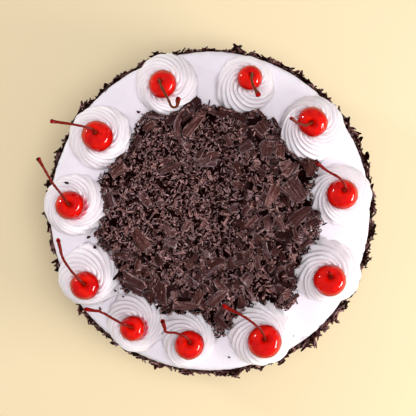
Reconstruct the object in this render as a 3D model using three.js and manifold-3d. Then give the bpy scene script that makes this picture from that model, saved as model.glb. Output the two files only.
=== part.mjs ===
// A whole black forest cake: a round cake under cream, its side coated with chocolate flakes, a
// bed of chocolate shavings on top, and piped rosettes round the rim, each holding a cherry.
// Millimetres, +Z up. The origin is the centre of the flat base.

import * as THREE from 'three';
import { mergeVertices } from 'three/addons/utils/BufferGeometryUtils.js';
import Module from 'manifold-3d';

const wasm = await Module();
wasm.setup();

const gap = 0.3; // between pieces that touch

const cake = { radius: 105, height: 75, footBevel: 1.5, edgeRadius: 4, columns: 60 };

// The coat of flakes on the side: a thin bumpy ring, with the flakes that stand out fused on.
const coat = { low: 1.2, high: 69.5, thickness: 2.1, bump: 1, rows: 5, seed: 11 };
const coatFlakes = {
  count: 72, shortest: 5, longest: 10, thickness: 1.1, flattest: 30, steepest: 65, lift: 0.6, margin: 5,
};

// The bed on top. Its outline stays clear of the rosettes and fills the bays between them.
const bed = { radius: 78, rise: 6.2, rim: 1.6, bump: 1.1, clearance: 0.7, columns: 66, seed: 23 };
const bedFlakes = {
  count: 80, shortest: 5.5, longest: 11, thickness: 1.1, flattest: 12, steepest: 52, lift: 1, rimHeight: 4,
};
const shardTilt = { roll: 36, pitch: 16, lift: 1.2 };
const undercut = 2; // how far a coat or bed starts inside the cake before it is cut back to the gap

// The largest shards: place on the cake, length, width and bearing of the length.
const shards = [
  { x: -17, y: 64, length: 23, width: 5, turn: 41 },
  { x: -8, y: 56, length: 23, width: 5, turn: 56 },
  { x: -3, y: 30, length: 16, width: 3.5, turn: 100 },
  { x: 26, y: 60, length: 8.5, width: 5, turn: 80 },
  { x: 31, y: 53, length: 11, width: 8.5, turn: 120 },
  { x: 36, y: 57, length: 22, width: 3, turn: -54 },
  { x: 43.5, y: 38.5, length: 13, width: 6, turn: 95 },
  { x: 48.5, y: 27.5, length: 13, width: 8.5, turn: 70 },
  { x: 61, y: 28, length: 10, width: 7, turn: 100 },
  { x: 23, y: 40, length: 9, width: 6, turn: 20 },
  { x: 51.5, y: 12, length: 16, width: 10, turn: -40 },
  { x: 37.5, y: 10.5, length: 11, width: 8, turn: 30 },
  { x: 61, y: -3, length: 12, width: 7, turn: 75 },
  { x: 58, y: -18, length: 9, width: 8, turn: 0 },
  { x: -49, y: -42, length: 20, width: 7, turn: -30 },
  { x: -31, y: -51, length: 13, width: 8.5, turn: 110 },
  { x: -44, y: -21.5, length: 14, width: 10, turn: 65 },
  { x: -46, y: -34, length: 10, width: 3.5, turn: 80 },
  { x: -57, y: 27.5, length: 14, width: 10, turn: 15 },
  { x: 8, y: -55, length: 19, width: 5, turn: 5 },
  { x: 49, y: -57, length: 12, width: 6, turn: -45 },
];

// A rosette is a stack of rings from its foot to the lip of the cup that holds the cherry. Radius
// and height are shares of the rosette's radius, face is the slope of the surface's normal over
// the level, turn is how far the arms have wound, and inward is the share of the shift from the
// rosette's centre to the cherry's.
const swirl = {
  arms: 17, height: 1, groove: 2.1, valleyLag: 0.3, start: 75, cherryRise: 0.5, cupAngle: 29,
};
const rings = [
  { radius: 0.92, height: 0, face: 0, turn: 0, inward: 0, groove: 0.7 },
  { radius: 1, height: 0.27, face: 0, turn: 0, inward: 0, groove: 1 },
  { radius: 0.9, height: 0.6, face: 35, turn: -20, inward: 0.2, groove: 1 },
  { radius: 0.71, height: 0.86, face: 58, turn: -50, inward: 0.6, groove: 1 },
];
const lip = { face: 80, turn: -88 };

const cherry = {
  flatness: 0.94, rimRadius: 0.34, rimHeight: 0.9, floorHeight: 0.72, dimpleReach: 0.9, columns: 12,
};
const cherryAngles = [35, 65, 95, 128]; // of its rings, from the foot

// Stem radii at even steps from the cherry to the knob at the tip.
const stem = { radii: [0.95, 0.8, 0.72, 0.7, 0.74, 0.9, 1.5, 1.35], columns: 5, lift: 0.85, rooted: 3 };

// Each rosette with its cherry, in turn round the rim against the bearing. The cherry's place is
// given from the rosette's centre; its dimple and the stem's way are given from its own centre.
const toppings = [
  { bearing: 109, reach: 87, radius: 19.8, across: 18.2, cherry: [-1.3, -2.8],
    dimple: [-1.6, 1.3], stem: [[5.5, -14.7, 19], [10.3, -12.6, 21]] },
  { bearing: 74.5, reach: 85.3, radius: 18.6, across: 16.2, cherry: [2, 1.4],
    dimple: [1, 1.4], stem: [[3.1, -13.6, 25]] },
  { bearing: 39, reach: 85.2, radius: 20.8, across: 19.5, cherry: [-2.1, 2.2],
    dimple: [-1.8, -1.5], stem: [[-10, -3.3, 17], [-15.2, -0.1, 21]] },
  { bearing: 7.2, reach: 86.1, radius: 19, across: 19.8, cherry: [-2.6, -0.1],
    dimple: [0.3, 3], stem: [[-4.4, 6.1, 22], [-19.1, 17.7, 28]] },
  { bearing: -27.4, reach: 87.1, radius: 19.8, across: 20.7, cherry: [-2.6, -3],
    dimple: [-0.2, 3.5], stem: [[-3.4, 6.2, 22]] },
  { bearing: -67.9, reach: 87.3, radius: 19.6, across: 21.7, cherry: [1.2, -0.5],
    dimple: [-0.3, 2.7], stem: [[-12.2, 17.2, 21], [-25.8, 24.8, 25]] },
  { bearing: -99.7, reach: 84.3, radius: 17.2, across: 19, cherry: [1.1, -0.9],
    dimple: [0.6, 3.1], stem: [[-13.5, 11.7, 19], [-15.4, 17.8, 23]] },
  { bearing: -124.1, reach: 86.6, radius: 18.5, across: 16.5, cherry: [-0.1, -1.9],
    dimple: [-0.6, 1.8], stem: [[-17.6, 12.8, 20], [-25.8, 14.9, 24]] },
  { bearing: -151.8, reach: 89.4, radius: 19, across: 18.5, cherry: [0.2, -4.4],
    dimple: [0.7, 1.7], stem: [[-10.3, 25.5, 22], [-12.3, 29.5, 24]] },
  { bearing: 177.7, reach: 88.1, radius: 19.5, across: 18.4, cherry: [0.1, 0.1],
    dimple: [0.6, 0.7], stem: [[-6.8, 15, 19], [-14.1, 27.6, 28]] },
  { bearing: 146.3, reach: 85.7, radius: 20, across: 20.2, cherry: [0.8, -0.7],
    dimple: [-0.5, 2.5], stem: [[-12, 4.4, 20], [-23.7, 6.6, 28]] },
];

const materials = {
  cream: new THREE.MeshStandardMaterial({ color: 0xf6f1f4, roughness: 0.5, metalness: 0 }),
  chocolate: new THREE.MeshStandardMaterial({ color: 0x4c3231, roughness: 0.7, metalness: 0 }),
  cherry: new THREE.MeshStandardMaterial({ color: 0xc0101c, roughness: 0.15, metalness: 0 }),
  stem: new THREE.MeshStandardMaterial({ color: 0x7a3a2c, roughness: 0.5, metalness: 0 }),
};

const goldenAngle = Math.PI * (3 - Math.sqrt(5)); // spreads places evenly, turn by turn
const radians = THREE.MathUtils.degToRad;
const up = new THREE.Vector3(0, 0, 1);

function polar(distance, bearing, z = 0) {
  return new THREE.Vector3(distance * Math.cos(bearing), distance * Math.sin(bearing), z);
}

// Even random numbers between 0 and 1, the same ones for the same seed.
function seeded(seed) {
  let state = seed;
  return () => {
    state = (state * 1664525 + 1013904223) % 4294967296;
    return state / 4294967296;
  };
}

// A shape turned about Z from [radius, height] points, where place may move each vertex.
function turned(profile, columns, place) {
  const points = profile.map(([radius, height]) => new THREE.Vector2(radius, height));
  const geometry = new THREE.LatheGeometry(points, columns, Math.PI / 2);
  geometry.rotateX(Math.PI / 2);
  if (!place) return geometry;
  const position = geometry.attributes.position;
  for (let i = 0; i < position.count; i += 1) {
    const row = i % profile.length;
    const column = Math.floor(i / profile.length) % columns;
    const spot = place(column, row);
    position.setXYZ(i, spot.x, spot.y, spot.z);
  }
  return geometry;
}

// Cuts each four-cornered face of a turned shape along its other diagonal, which is the shorter
// one where the upper ring is turned back against the lower one.
function turnDiagonals(geometry) {
  const index = geometry.index;
  for (let i = 0; i < index.count; i += 6) {
    const a = index.getX(i);
    const b = index.getX(i + 1);
    const d = index.getX(i + 2);
    const c = index.getX(i + 3);
    [a, b, c, a, c, d].forEach((vertex, k) => index.setX(i + k, vertex));
  }
  return geometry;
}

function toSolid(geometry) {
  const bare = new THREE.BufferGeometry();
  bare.setAttribute('position', geometry.attributes.position);
  bare.setIndex(geometry.index);
  const merged = mergeVertices(bare, 1e-3);
  const index = merged.index.array;
  const faces = [];
  for (let i = 0; i < index.length; i += 3) {
    const [a, b, c] = index.slice(i, i + 3);
    if (a !== b && b !== c && c !== a) faces.push(a, b, c);
  }
  return new wasm.Manifold(new wasm.Mesh({
    numProp: 3,
    vertProperties: merged.attributes.position.array,
    triVerts: new Uint32Array(faces),
  }));
}

function toGeometry(solid) {
  const mesh = solid.getMesh();
  const geometry = new THREE.BufferGeometry();
  geometry.setAttribute('position', new THREE.BufferAttribute(mesh.vertProperties, 3));
  geometry.setIndex(new THREE.BufferAttribute(mesh.triVerts, 1));
  return geometry;
}

// The largest piece of a solid, without loose scraps.
function largestPiece(solid) {
  const pieces = solid.decompose();
  return pieces.reduce((best, piece) => (piece.volume() > best.volume() ? piece : best));
}

function cakeBody() {
  const { radius, height, footBevel, edgeRadius } = cake;
  const edge = [0, 30, 60, 90].map((degrees) => [
    radius - edgeRadius + edgeRadius * Math.cos(radians(degrees)),
    height - edgeRadius + edgeRadius * Math.sin(radians(degrees)),
  ]);
  return turned([[0, 0], [radius - footBevel, 0], [radius, footBevel], ...edge, [0, height]],
    cake.columns);
}

// A small chip of chocolate: a plate that is narrower at one end and runs slightly askew.
function chip(length, width, thickness, draw) {
  const geometry = new THREE.BoxGeometry(length, width, thickness);
  const position = geometry.attributes.position;
  const narrowEnd = 0.25 + 0.5 * draw();
  const skew = 0.3 * (draw() - 0.5);
  for (let i = 0; i < position.count; i += 1) {
    const x = position.getX(i);
    position.setY(i, position.getY(i) * (x > 0 ? narrowEnd : 1) + skew * x);
  }
  return geometry;
}

// A large shard: a plate with a crest across its middle and two narrower ends.
function shard(length, width, thickness, draw) {
  const geometry = new THREE.BoxGeometry(length, width, thickness, 2, 1, 1);
  const position = geometry.attributes.position;
  const bend = thickness * (0.3 + 0.7 * draw());
  const ends = [0.25 + 0.5 * draw(), 0.35 + 0.5 * draw()];
  for (let i = 0; i < position.count; i += 1) {
    const x = position.getX(i);
    const middle = Math.abs(x) < 1e-6;
    position.setY(i, position.getY(i) * (middle ? 1 : ends[x > 0 ? 1 : 0]));
    if (middle) position.setZ(i, position.getZ(i) + bend);
  }
  return geometry;
}

function sideCoat() {
  const draw = seeded(coat.seed);
  const step = (2 * Math.PI) / cake.columns;
  const wallRadius = cake.radius + gap + coat.thickness;
  const inside = cake.radius - undercut;
  const profile = [[inside, coat.low]];
  for (let row = 0; row <= coat.rows; row += 1) {
    profile.push([wallRadius, THREE.MathUtils.lerp(coat.low, coat.high, row / coat.rows)]);
  }
  profile.push([inside, coat.high], [inside, coat.low]);
  const bumps = Array.from({ length: profile.length * cake.columns }, () => coat.bump * (draw() - 0.5));
  const ring = turned(profile, cake.columns, (column, row) => {
    const [radius, height] = profile[row];
    const bump = radius > inside ? bumps[row * cake.columns + column] : 0;
    return polar(radius + 2 * bump, column * step, height);
  });
  let solid = toSolid(ring);
  const { count, shortest, longest, thickness, flattest, steepest, lift, margin } = coatFlakes;
  for (let i = 0; i < count; i += 1) {
    const length = THREE.MathUtils.lerp(shortest, longest, draw() ** 2);
    const flake = chip(length, length * (0.4 + 0.25 * draw()), thickness, draw);
    const height = THREE.MathUtils.lerp(coat.low + margin, coat.high, (i + 0.5) / count);
    flake.rotateX(radians(THREE.MathUtils.lerp(flattest, steepest, draw())));
    flake.rotateZ(Math.PI * draw());
    flake.rotateY(Math.PI / 2);
    flake.translate(wallRadius + lift, 0, 0);
    flake.rotateZ(i * goldenAngle);
    flake.translate(0, 0, height);
    solid = solid.add(toSolid(flake));
  }
  const hole = cake.radius / Math.cos(step / 2) + gap;
  const ceiling = cake.height + undercut;
  const core = toSolid(turned([[0, 0], [hole, 0], [hole, ceiling], [0, ceiling]], cake.columns));
  return toGeometry(largestPiece(solid.subtract(core)));
}

function rosetteCentre(topping) {
  return polar(topping.reach, radians(topping.bearing), cake.height + gap);
}

// How far out the bed reaches along a bearing, clear of the rosettes.
function bedReach(bearing) {
  return toppings.reduce((reach, topping) => {
    const off = bearing - radians(topping.bearing);
    const keepOut = topping.radius + bed.clearance;
    const across = topping.reach * Math.sin(off);
    if (Math.abs(across) >= keepOut || Math.cos(off) < 0) return reach;
    const entry = topping.reach * Math.cos(off) - Math.sqrt(keepOut ** 2 - across ** 2);
    return Math.min(reach, entry);
  }, bed.radius);
}

// Whether a flake's corners lie inside the bed's outline.
function insideBed(geometry) {
  const position = geometry.attributes.position;
  for (let i = 0; i < position.count; i += 1) {
    const [x, y] = [position.getX(i), position.getY(i)];
    if (Math.hypot(x, y) > bedReach(Math.atan2(y, x)) + bed.clearance - gap) return false;
  }
  return true;
}

function shavingsBed() {
  const draw = seeded(bed.seed);
  const floor = cake.height + gap;
  const profile = [[0, -undercut], [1, -undercut], [1, bed.rim], [0.86, 0.7 * bed.rise], [0.6, bed.rise],
    [0.3, bed.rise], [0, bed.rise]];
  const top = 3; // the first row that takes bumps
  const bumps = Array.from({ length: profile.length * bed.columns }, () => bed.bump * (2 * draw() - 1));
  const core = turned(profile, bed.columns, (column, row) => {
    const bearing = (column * 2 * Math.PI) / bed.columns;
    const [share, height] = profile[row];
    const bump = row >= top && share > 0 ? bumps[row * bed.columns + column] : 0;
    return polar(share * bedReach(bearing), bearing, floor + height + bump);
  });
  let solid = toSolid(core);
  shards.forEach(({ x, y, length, width, turn }) => {
    const flake = shard(length, width, bedFlakes.thickness, draw);
    flake.rotateX(radians(shardTilt.roll * (draw() - 0.5)));
    flake.rotateY(radians(shardTilt.pitch * (draw() - 0.5)));
    flake.rotateZ(radians(turn));
    flake.translate(x, y, floor + bed.rise + shardTilt.lift);
    if (insideBed(flake)) solid = solid.add(toSolid(flake));
  });
  const { count, shortest, longest, thickness, flattest, steepest, lift, rimHeight } = bedFlakes;
  for (let i = 0; i < count; i += 1) {
    const length = THREE.MathUtils.lerp(shortest, longest, draw() ** 2);
    const flake = chip(length, length * (0.35 + 0.3 * draw()), thickness, draw);
    const share = Math.sqrt((i + 0.5) / count);
    const bearing = i * goldenAngle;
    const height = THREE.MathUtils.lerp(bed.rise + lift, rimHeight, share ** 4);
    const side = draw() < 0.5 ? -1 : 1;
    flake.rotateX(side * radians(THREE.MathUtils.lerp(flattest, steepest, draw())));
    flake.rotateZ(2 * Math.PI * draw());
    const spot = polar(share * (bedReach(bearing) - 3), bearing, floor + height);
    flake.translate(spot.x, spot.y, spot.z);
    if (insideBed(flake)) solid = solid.add(toSolid(flake));
  }
  return toGeometry(largestPiece(solid.trimByPlane([0, 0, 1], floor)));
}

function cherryRadius(topping) {
  return topping.across / 2;
}

function cherryCentre(topping) {
  const [x, y] = topping.cherry;
  const rise = swirl.height * topping.radius + swirl.cherryRise * cherryRadius(topping);
  return rosetteCentre(topping).add(new THREE.Vector3(x, y, rise));
}

// The radius at which the facets of a rosette's cup still clear the cherry.
function cupRadius(topping) {
  const halfStep = (Math.acos(swirl.cherryRise) - radians(swirl.cupAngle)) / 2;
  const slant = Math.cos(halfStep) * Math.cos(Math.PI / (2 * swirl.arms));
  return (cherryRadius(topping) + gap) / slant;
}

function rosette(topping, order) {
  const { radius } = topping;
  const centre = rosetteCentre(topping);
  const cup = cherryCentre(topping);
  const cupReach = cupRadius(topping);
  const lipHeight = swirl.height * radius;
  const lipRadius = Math.sqrt(cupReach ** 2 - (swirl.cherryRise * cherryRadius(topping)) ** 2);
  const depth = cup.z - centre.z;
  const cupAngle = radians(swirl.cupAngle);
  const rows = [
    { radius: 0, height: 0, face: 0, turn: 0, inward: 0, groove: 0 },
    ...rings.map((ring) => ({
      ...ring, radius: ring.radius * radius, height: ring.height * lipHeight,
    })),
    { radius: lipRadius, height: lipHeight, ...lip, inward: 1, groove: 1 },
    { radius: cupReach * Math.sin(cupAngle), height: depth - cupReach * Math.cos(cupAngle),
      face: 0, turn: lip.turn, inward: 1, groove: 0 },
    { radius: 0, height: depth - cupReach, face: 0, turn: 0, inward: 1, groove: 0 },
  ];
  const columns = 2 * swirl.arms;
  const start = radians(order * swirl.start);
  const profile = rows.map((row) => [row.radius, row.height]);
  const geometry = turned(profile, columns, (column, i) => {
    const row = rows[i];
    const valley = column % 2 === 1;
    const cut = valley ? swirl.groove * row.groove : 0;
    const face = radians(row.face);
    const lag = valley ? swirl.valleyLag : 0;
    const bearing = start + ((column + lag) * 2 * Math.PI) / columns + radians(row.turn);
    const spot = polar(row.radius - cut * Math.cos(face), bearing, row.height - cut * Math.sin(face));
    return spot
      .add(centre)
      .add(new THREE.Vector3(cup.x - centre.x, cup.y - centre.y, 0).multiplyScalar(row.inward));
  });
  return turnDiagonals(geometry);
}

// The cherry's own axis leans towards its dimple.
function cherryAxis(topping) {
  const [x, y] = topping.dimple;
  const reach = cherry.dimpleReach * cherryRadius(topping);
  return new THREE.Vector3(x, y, Math.sqrt(reach ** 2 - x ** 2 - y ** 2)).normalize();
}

function cherrySolid(topping) {
  const radius = cherryRadius(topping);
  const tall = cherry.flatness * radius;
  const rows = cherryAngles.map((degrees) => [
    radius * Math.sin(radians(degrees)),
    -tall * Math.cos(radians(degrees)),
  ]);
  const geometry = turned([[0, -tall], ...rows, [cherry.rimRadius * radius, cherry.rimHeight * tall],
    [0, cherry.floorHeight * tall]], cherry.columns);
  geometry.applyQuaternion(new THREE.Quaternion().setFromUnitVectors(up, cherryAxis(topping)));
  const centre = cherryCentre(topping);
  return geometry.translate(centre.x, centre.y, centre.z);
}

function stemSolid(topping) {
  const axis = cherryAxis(topping);
  const floorHeight = cherry.floorHeight * cherry.flatness * cherryRadius(topping);
  const root = axis.clone().multiplyScalar(floorHeight + stem.lift);
  const way = [root, root.clone().addScaledVector(axis, stem.rooted),
    ...topping.stem.map(([x, y, z]) => new THREE.Vector3(x, y, z))];
  const centre = cherryCentre(topping);
  const curve = new THREE.CatmullRomCurve3(way.map((point) => point.add(centre)));
  const steps = stem.radii.length - 1;
  const frames = curve.computeFrenetFrames(steps);
  const rows = [[0, 0], ...stem.radii.map((radius, k) => [radius, k]), [0, steps]];
  return turned(rows, stem.columns, (column, i) => {
    const [radius, k] = rows[i];
    const angle = (column * 2 * Math.PI) / stem.columns;
    return curve.getPointAt(k / steps)
      .addScaledVector(frames.normals[k], radius * Math.cos(angle))
      .addScaledVector(frames.binormals[k], radius * Math.sin(angle));
  });
}

function piece(name, geometry, material) {
  const mesh = new THREE.Mesh(geometry, material);
  mesh.name = name;
  return mesh;
}

const blackForestCake = new THREE.Group();
blackForestCake.add(
  piece('cake_body', cakeBody(), materials.cream),
  piece('side_shavings', sideCoat(), materials.chocolate),
  piece('chocolate_shavings', shavingsBed(), materials.chocolate),
);
toppings.forEach((topping, i) => {
  const number = String(i + 1).padStart(2, '0');
  blackForestCake.add(
    piece(`rosette_${number}`, rosette(topping, i), materials.cream),
    piece(`cherry_${number}`, cherrySolid(topping), materials.cherry),
    piece(`stem_${number}`, stemSolid(topping), materials.stem),
  );
});

export default blackForestCake;
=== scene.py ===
import math
import random

import bmesh
import bpy
import numpy
from mathutils import Matrix, Vector, noise


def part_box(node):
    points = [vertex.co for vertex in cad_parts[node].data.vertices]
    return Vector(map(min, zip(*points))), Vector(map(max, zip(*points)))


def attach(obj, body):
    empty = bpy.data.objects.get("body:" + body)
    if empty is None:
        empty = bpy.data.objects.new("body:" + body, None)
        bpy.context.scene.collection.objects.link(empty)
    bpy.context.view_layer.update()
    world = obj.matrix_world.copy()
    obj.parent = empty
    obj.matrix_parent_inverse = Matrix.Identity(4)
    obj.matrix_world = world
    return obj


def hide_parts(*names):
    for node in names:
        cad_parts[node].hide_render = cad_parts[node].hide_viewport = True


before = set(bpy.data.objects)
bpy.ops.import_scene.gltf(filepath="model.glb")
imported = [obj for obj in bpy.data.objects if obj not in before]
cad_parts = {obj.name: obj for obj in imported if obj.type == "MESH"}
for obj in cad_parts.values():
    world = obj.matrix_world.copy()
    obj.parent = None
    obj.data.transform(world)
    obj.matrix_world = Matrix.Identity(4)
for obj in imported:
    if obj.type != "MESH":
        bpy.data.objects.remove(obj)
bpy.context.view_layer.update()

mm = 0.001
upwards = Vector((0, 0, 1))
anyTurn = (0, 6.283)
bodyLow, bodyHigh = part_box("cake_body")
cakeRadius = (bodyHigh.x - bodyLow.x) / 2
cakeTop = bodyHigh.z
creamTop = cakeTop + 0.3 * mm  # what lies on the cake starts here

# The rosettes with their cherries, against the clock from the back. Angles are in degrees, the rest in mm.
# bearing and reach place the rosette from the cake's axis, and ragged is how far its ridges run out over the
# bed. cherry is the cherry's place from the rosette and across its width. dimple and the stem's points are
# places from the cherry. stretch makes it longer along that bearing, olive is the share of green in the
# stem, juice is how far it has stained the cream, and knob is the radius and length of the stem's end.
toppingFields = ("bearing", "reach", "radius", "ragged", "across", "cherry", "dimple", "stretch", "olive",
                 "juice", "knob", "stem")
toppings = [dict(zip(toppingFields, row)) for row in (
    (109, 87, 19.8, 0.2, 18.2, (-1.3, -2.8), (-1.6, 1.3), (60, 1.02), 0.9, 0, (1.7, 2.6),
     [(4.6, -12.5, 17.5), (7.2, -16.6, 19), (9.8, -15.8, 20), (10.5, -11.6, 22)]),
    (74.5, 85.3, 18.6, 0.3, 16.2, (2, 1.4), (1, 1.4), (80, 1.05), 0.8, 0, (1.75, 3),
     [(0.6, -4.4, 17), (1.8, -9, 21), (4.1, -13.9, 25)]),
    (39, 85.2, 20.8, 0.3, 19.5, (-2.1, 2.2), (-1.8, -1.5), (125, 1.04), 0.6, 0, (1.2, 1.8),
     [(-6, -3.4, 14), (-11, -2.6, 17.5), (-15.6, 0, 21.5)]),
    (7.2, 86.1, 19, 1.1, 19.8, (-2.6, -0.1), (0.3, 3), (0, 1.04), 0.1, 0, (1.4, 2.8),
     [(-0.6, 4.4, 16), (-4.4, 9, 20.5), (-12.4, 13.3, 24), (-19.2, 18, 28)]),
    (-27.4, 87.1, 19.8, 1.0, 20.7, (-2.6, -3), (-0.2, 3.5), (90, 1.03), 0.2, 0, (1.2, 0.9),
     [(-3.4, 6.2, 22)]),
    (-67.9, 87.3, 19.6, 1.2, 21.7, (1.2, -0.5), (-0.3, 2.7), (20, 1.03), 0.15, 0, (1.5, 3.4),
     [(-2.8, 8.6, 16), (-8.8, 14.6, 20), (-17, 20.2, 23), (-25.8, 24.8, 25)]),
    (-99.7, 84.3, 17.2, 0.9, 19, (1.1, -0.9), (0.6, 3.1), (70, 1.02), 0.1, 0, (1.5, 3.4),
     [(-3, 7.6, 14), (-8.5, 10, 17), (-13.8, 11, 19), (-15.6, 17.9, 23)]),
    (-124.1, 86.6, 18.5, 1.0, 16.5, (-0.1, -1.9), (-0.6, 1.8), (90, 1.04), 0.1, 1, (1.35, 3.6),
     [(-5, 4.9, 15), (-12, 9.4, 18), (-18, 13, 20.5), (-25.8, 14.9, 24)]),
    (-151.8, 89.4, 19, 0.7, 18.5, (0.2, -4.4), (0.7, 1.7), (0, 1.06), 0.2, 0, (1.35, 3.2),
     [(-2.4, 6.4, 15), (-6.4, 11.6, 18), (-10.6, 19.4, 20.5), (-12.5, 29.5, 24)]),
    (177.7, 88.1, 19.5, 0.9, 18.4, (0.1, 0.1), (0.6, 0.7), (10, 1.05), 0.2, 0.85, (1.5, 1.8),
     [(-3.2, 7.4, 15), (-7, 13, 19), (-10.8, 20.7, 23.5), (-14.1, 27.6, 28)]),
    (146.3, 85.7, 20, 0.3, 20.2, (0.8, -0.7), (-0.5, 2.5), (135, 1.03), 0.2, 0, (1.4, 1.8),
     [(-4, 4, 15), (-10.5, 5.2, 20), (-23.7, 6.6, 28)]),
)]


# modelling helpers

def polar(distance, bearing, height=0.0):
    angle = math.radians(bearing)
    return Vector((distance * math.cos(angle), distance * math.sin(angle), height))


def applyTransform(piece, **settings):
    for key, value in settings.items():
        setattr(piece, key, value)
    bpy.ops.object.transform_apply()


def start(addPrimitive, stretch=(1, 1, 1), **settings):  # the primitive opens in edit mode, all selected
    bpy.ops.object.select_all(action="DESELECT")
    addPrimitive(**settings)
    applyTransform(bpy.context.object, scale=stretch)
    bpy.ops.object.mode_set(mode="EDIT")
    bpy.ops.mesh.select_all(action="SELECT")
    return bpy.context.object


def pick(piece, kind, test):  # selects the verts, edges or faces that pass the test, in edit mode
    bpy.ops.mesh.select_mode(type=kind[:-1].upper())
    bpy.ops.mesh.select_all(action="DESELECT")
    mesh = bmesh.from_edit_mesh(piece.data)
    for part in getattr(mesh, kind):
        part.select = test(part)
    mesh.select_flush_mode()
    bmesh.update_edit_mesh(piece.data)


def moveVerts(piece, test, value, **settings):
    pick(piece, "verts", test)
    bpy.ops.transform.translate(value=value, **settings)


def resizeVerts(piece, test, value, **settings):
    pick(piece, "verts", test)
    bpy.ops.transform.resize(value=value, **settings)


def applyModifier(piece, kind, **settings):
    modifier = piece.modifiers.new(kind, kind)
    for key, value in settings.items():
        setattr(modifier, key, value)
    bpy.ops.object.modifier_apply(modifier=modifier.name)


def roughen(piece, name, size, strength, group=""):  # pushes the surface in and out by soft clouds
    texture = bpy.data.textures.new(name, "CLOUDS")
    texture.noise_scale = size
    applyModifier(piece, "DISPLACE", texture=texture, strength=strength, mid_level=0.5, vertex_group=group)


def fitTo(piece, node):  # the piece fills the node's box
    low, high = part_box(node)
    places = numpy.array([vert.co for vert in piece.data.vertices])
    ownLow, ownHigh = Vector(places.min(axis=0)), Vector(places.max(axis=0))
    scale = Vector([(high[i] - low[i]) / (ownHigh[i] - ownLow[i]) for i in range(3)])
    applyTransform(piece, scale=scale, location=low - scale * ownLow)


def pointAttribute(piece, name, values):
    attribute = piece.data.attributes.new(name, "FLOAT", "POINT")
    attribute.data.foreach_set("value", numpy.asarray(values, dtype=numpy.float32))


def hand(piece, name, slot, material, *nodes):  # the finished piece joins the model
    piece.name = name
    piece.data.name = name
    piece.data.materials.clear()
    piece.data.materials.append(material)
    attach(piece, "root")
    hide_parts(*nodes)


# material helpers

def addNode(tree, kind, inputs=None, **settings):
    made = tree.nodes.new("ShaderNode" + kind)
    made.location = (230 * len(tree.nodes), 0)
    for key, value in settings.items():
        setattr(made, key, value)
    for key, value in (inputs or {}).items():
        if isinstance(value, bpy.types.NodeSocket):
            tree.links.new(value, made.inputs[key])
        else:
            made.inputs[key].default_value = value
    return made


def combine(tree, operation, first, second):
    return addNode(tree, "Math", {0: first, 1: second}, operation=operation).outputs[0]


def mixValues(tree, factor, first, second):
    return addNode(tree, "Mix", {0: factor, 2: first, 3: second}).outputs[0]


def mixColors(tree, factor, first, second, blend="MIX"):
    made = addNode(tree, "Mix", {0: factor, 6: first, 7: second}, data_type="RGBA", blend_type=blend)
    return made.outputs[2]


def remap(tree, value, low=0.0, high=1.0, newLow=0.0, newHigh=1.0):
    inputs = {"Value": value, "From Min": low, "From Max": high, "To Min": newLow, "To Max": newHigh}
    return addNode(tree, "MapRange", inputs).outputs[0]


def readAttribute(tree, name, output="Fac"):
    return addNode(tree, "Attribute", attribute_name=name).outputs[output]


def noiseOnPiece(tree, size, roughness, detail):  # size in metres
    place = addNode(tree, "TexCoord").outputs["Object"]
    scale = combine(tree, "DIVIDE", 1.0, size)
    inputs = {"Vector": place, "Scale": scale, "Detail": detail, "Roughness": roughness}
    return addNode(tree, "TexNoise", inputs).outputs[0]


def newGroup(name, inputs, outputs):
    group = bpy.data.node_groups.new(name, "ShaderNodeTree")
    for label, value in inputs.items():
        kind = "NodeSocketColor" if isinstance(value, tuple) else "NodeSocketFloat"
        group.interface.new_socket(label, in_out="INPUT", socket_type=kind).default_value = value
    for label in outputs:
        kind = "NodeSocketColor" if label == "Color" else "NodeSocketFloat"
        group.interface.new_socket(label, in_out="OUTPUT", socket_type=kind)
    return group, group.nodes.new("NodeGroupInput").outputs, group.nodes.new("NodeGroupOutput").inputs


def grainGroup():  # an even grain
    group, given, result = newGroup("foodGrain", {"Size": 0.001, "Roughness": 0.5}, ["Grain"])
    group.links.new(noiseOnPiece(group, given["Size"], given["Roughness"], 3.0), result["Grain"])
    return group


def mottleGroup():  # soft patches of two colours
    group, given, result = newGroup(
        "softMottle", {"First": (1, 1, 1, 1), "Second": (0, 0, 0, 1), "Size": 0.01, "Edge": 0.2}, ["Color"])
    patches = noiseOnPiece(group, given["Size"], 0.5, 2.0)
    low = combine(group, "SUBTRACT", 0.5, given["Edge"])
    high = combine(group, "ADD", 0.5, given["Edge"])
    color = mixColors(group, remap(group, patches, low, high), given["First"], given["Second"])
    group.links.new(color, result["Color"])
    return group


foodGrain = grainGroup()
softMottle = mottleGroup()


def grained(tree, size, roughness):
    inputs = {"Size": size, "Roughness": roughness}
    return addNode(tree, "Group", inputs, node_tree=foodGrain).outputs["Grain"]


def mottled(tree, first, second, size, edge):
    inputs = {"First": first, "Second": second, "Size": size, "Edge": edge}
    return addNode(tree, "Group", inputs, node_tree=softMottle).outputs["Color"]


def newMaterial(name, values):
    material = bpy.data.materials.new(name)
    material.use_nodes = True
    tree = material.node_tree
    tree.nodes.clear()
    shader = addNode(tree, "BsdfPrincipled", values)
    addNode(tree, "OutputMaterial", {0: shader.outputs[0]})
    return material, tree, shader.inputs


def dress(tree, surface, color, height, depth):  # colour and relief reach the shader
    tree.links.new(color, surface["Base Color"])
    bump = addNode(tree, "Bump", {"Height": height, "Strength": 1.0, "Distance": depth})
    tree.links.new(bump.outputs[0], surface["Normal"])


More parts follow.
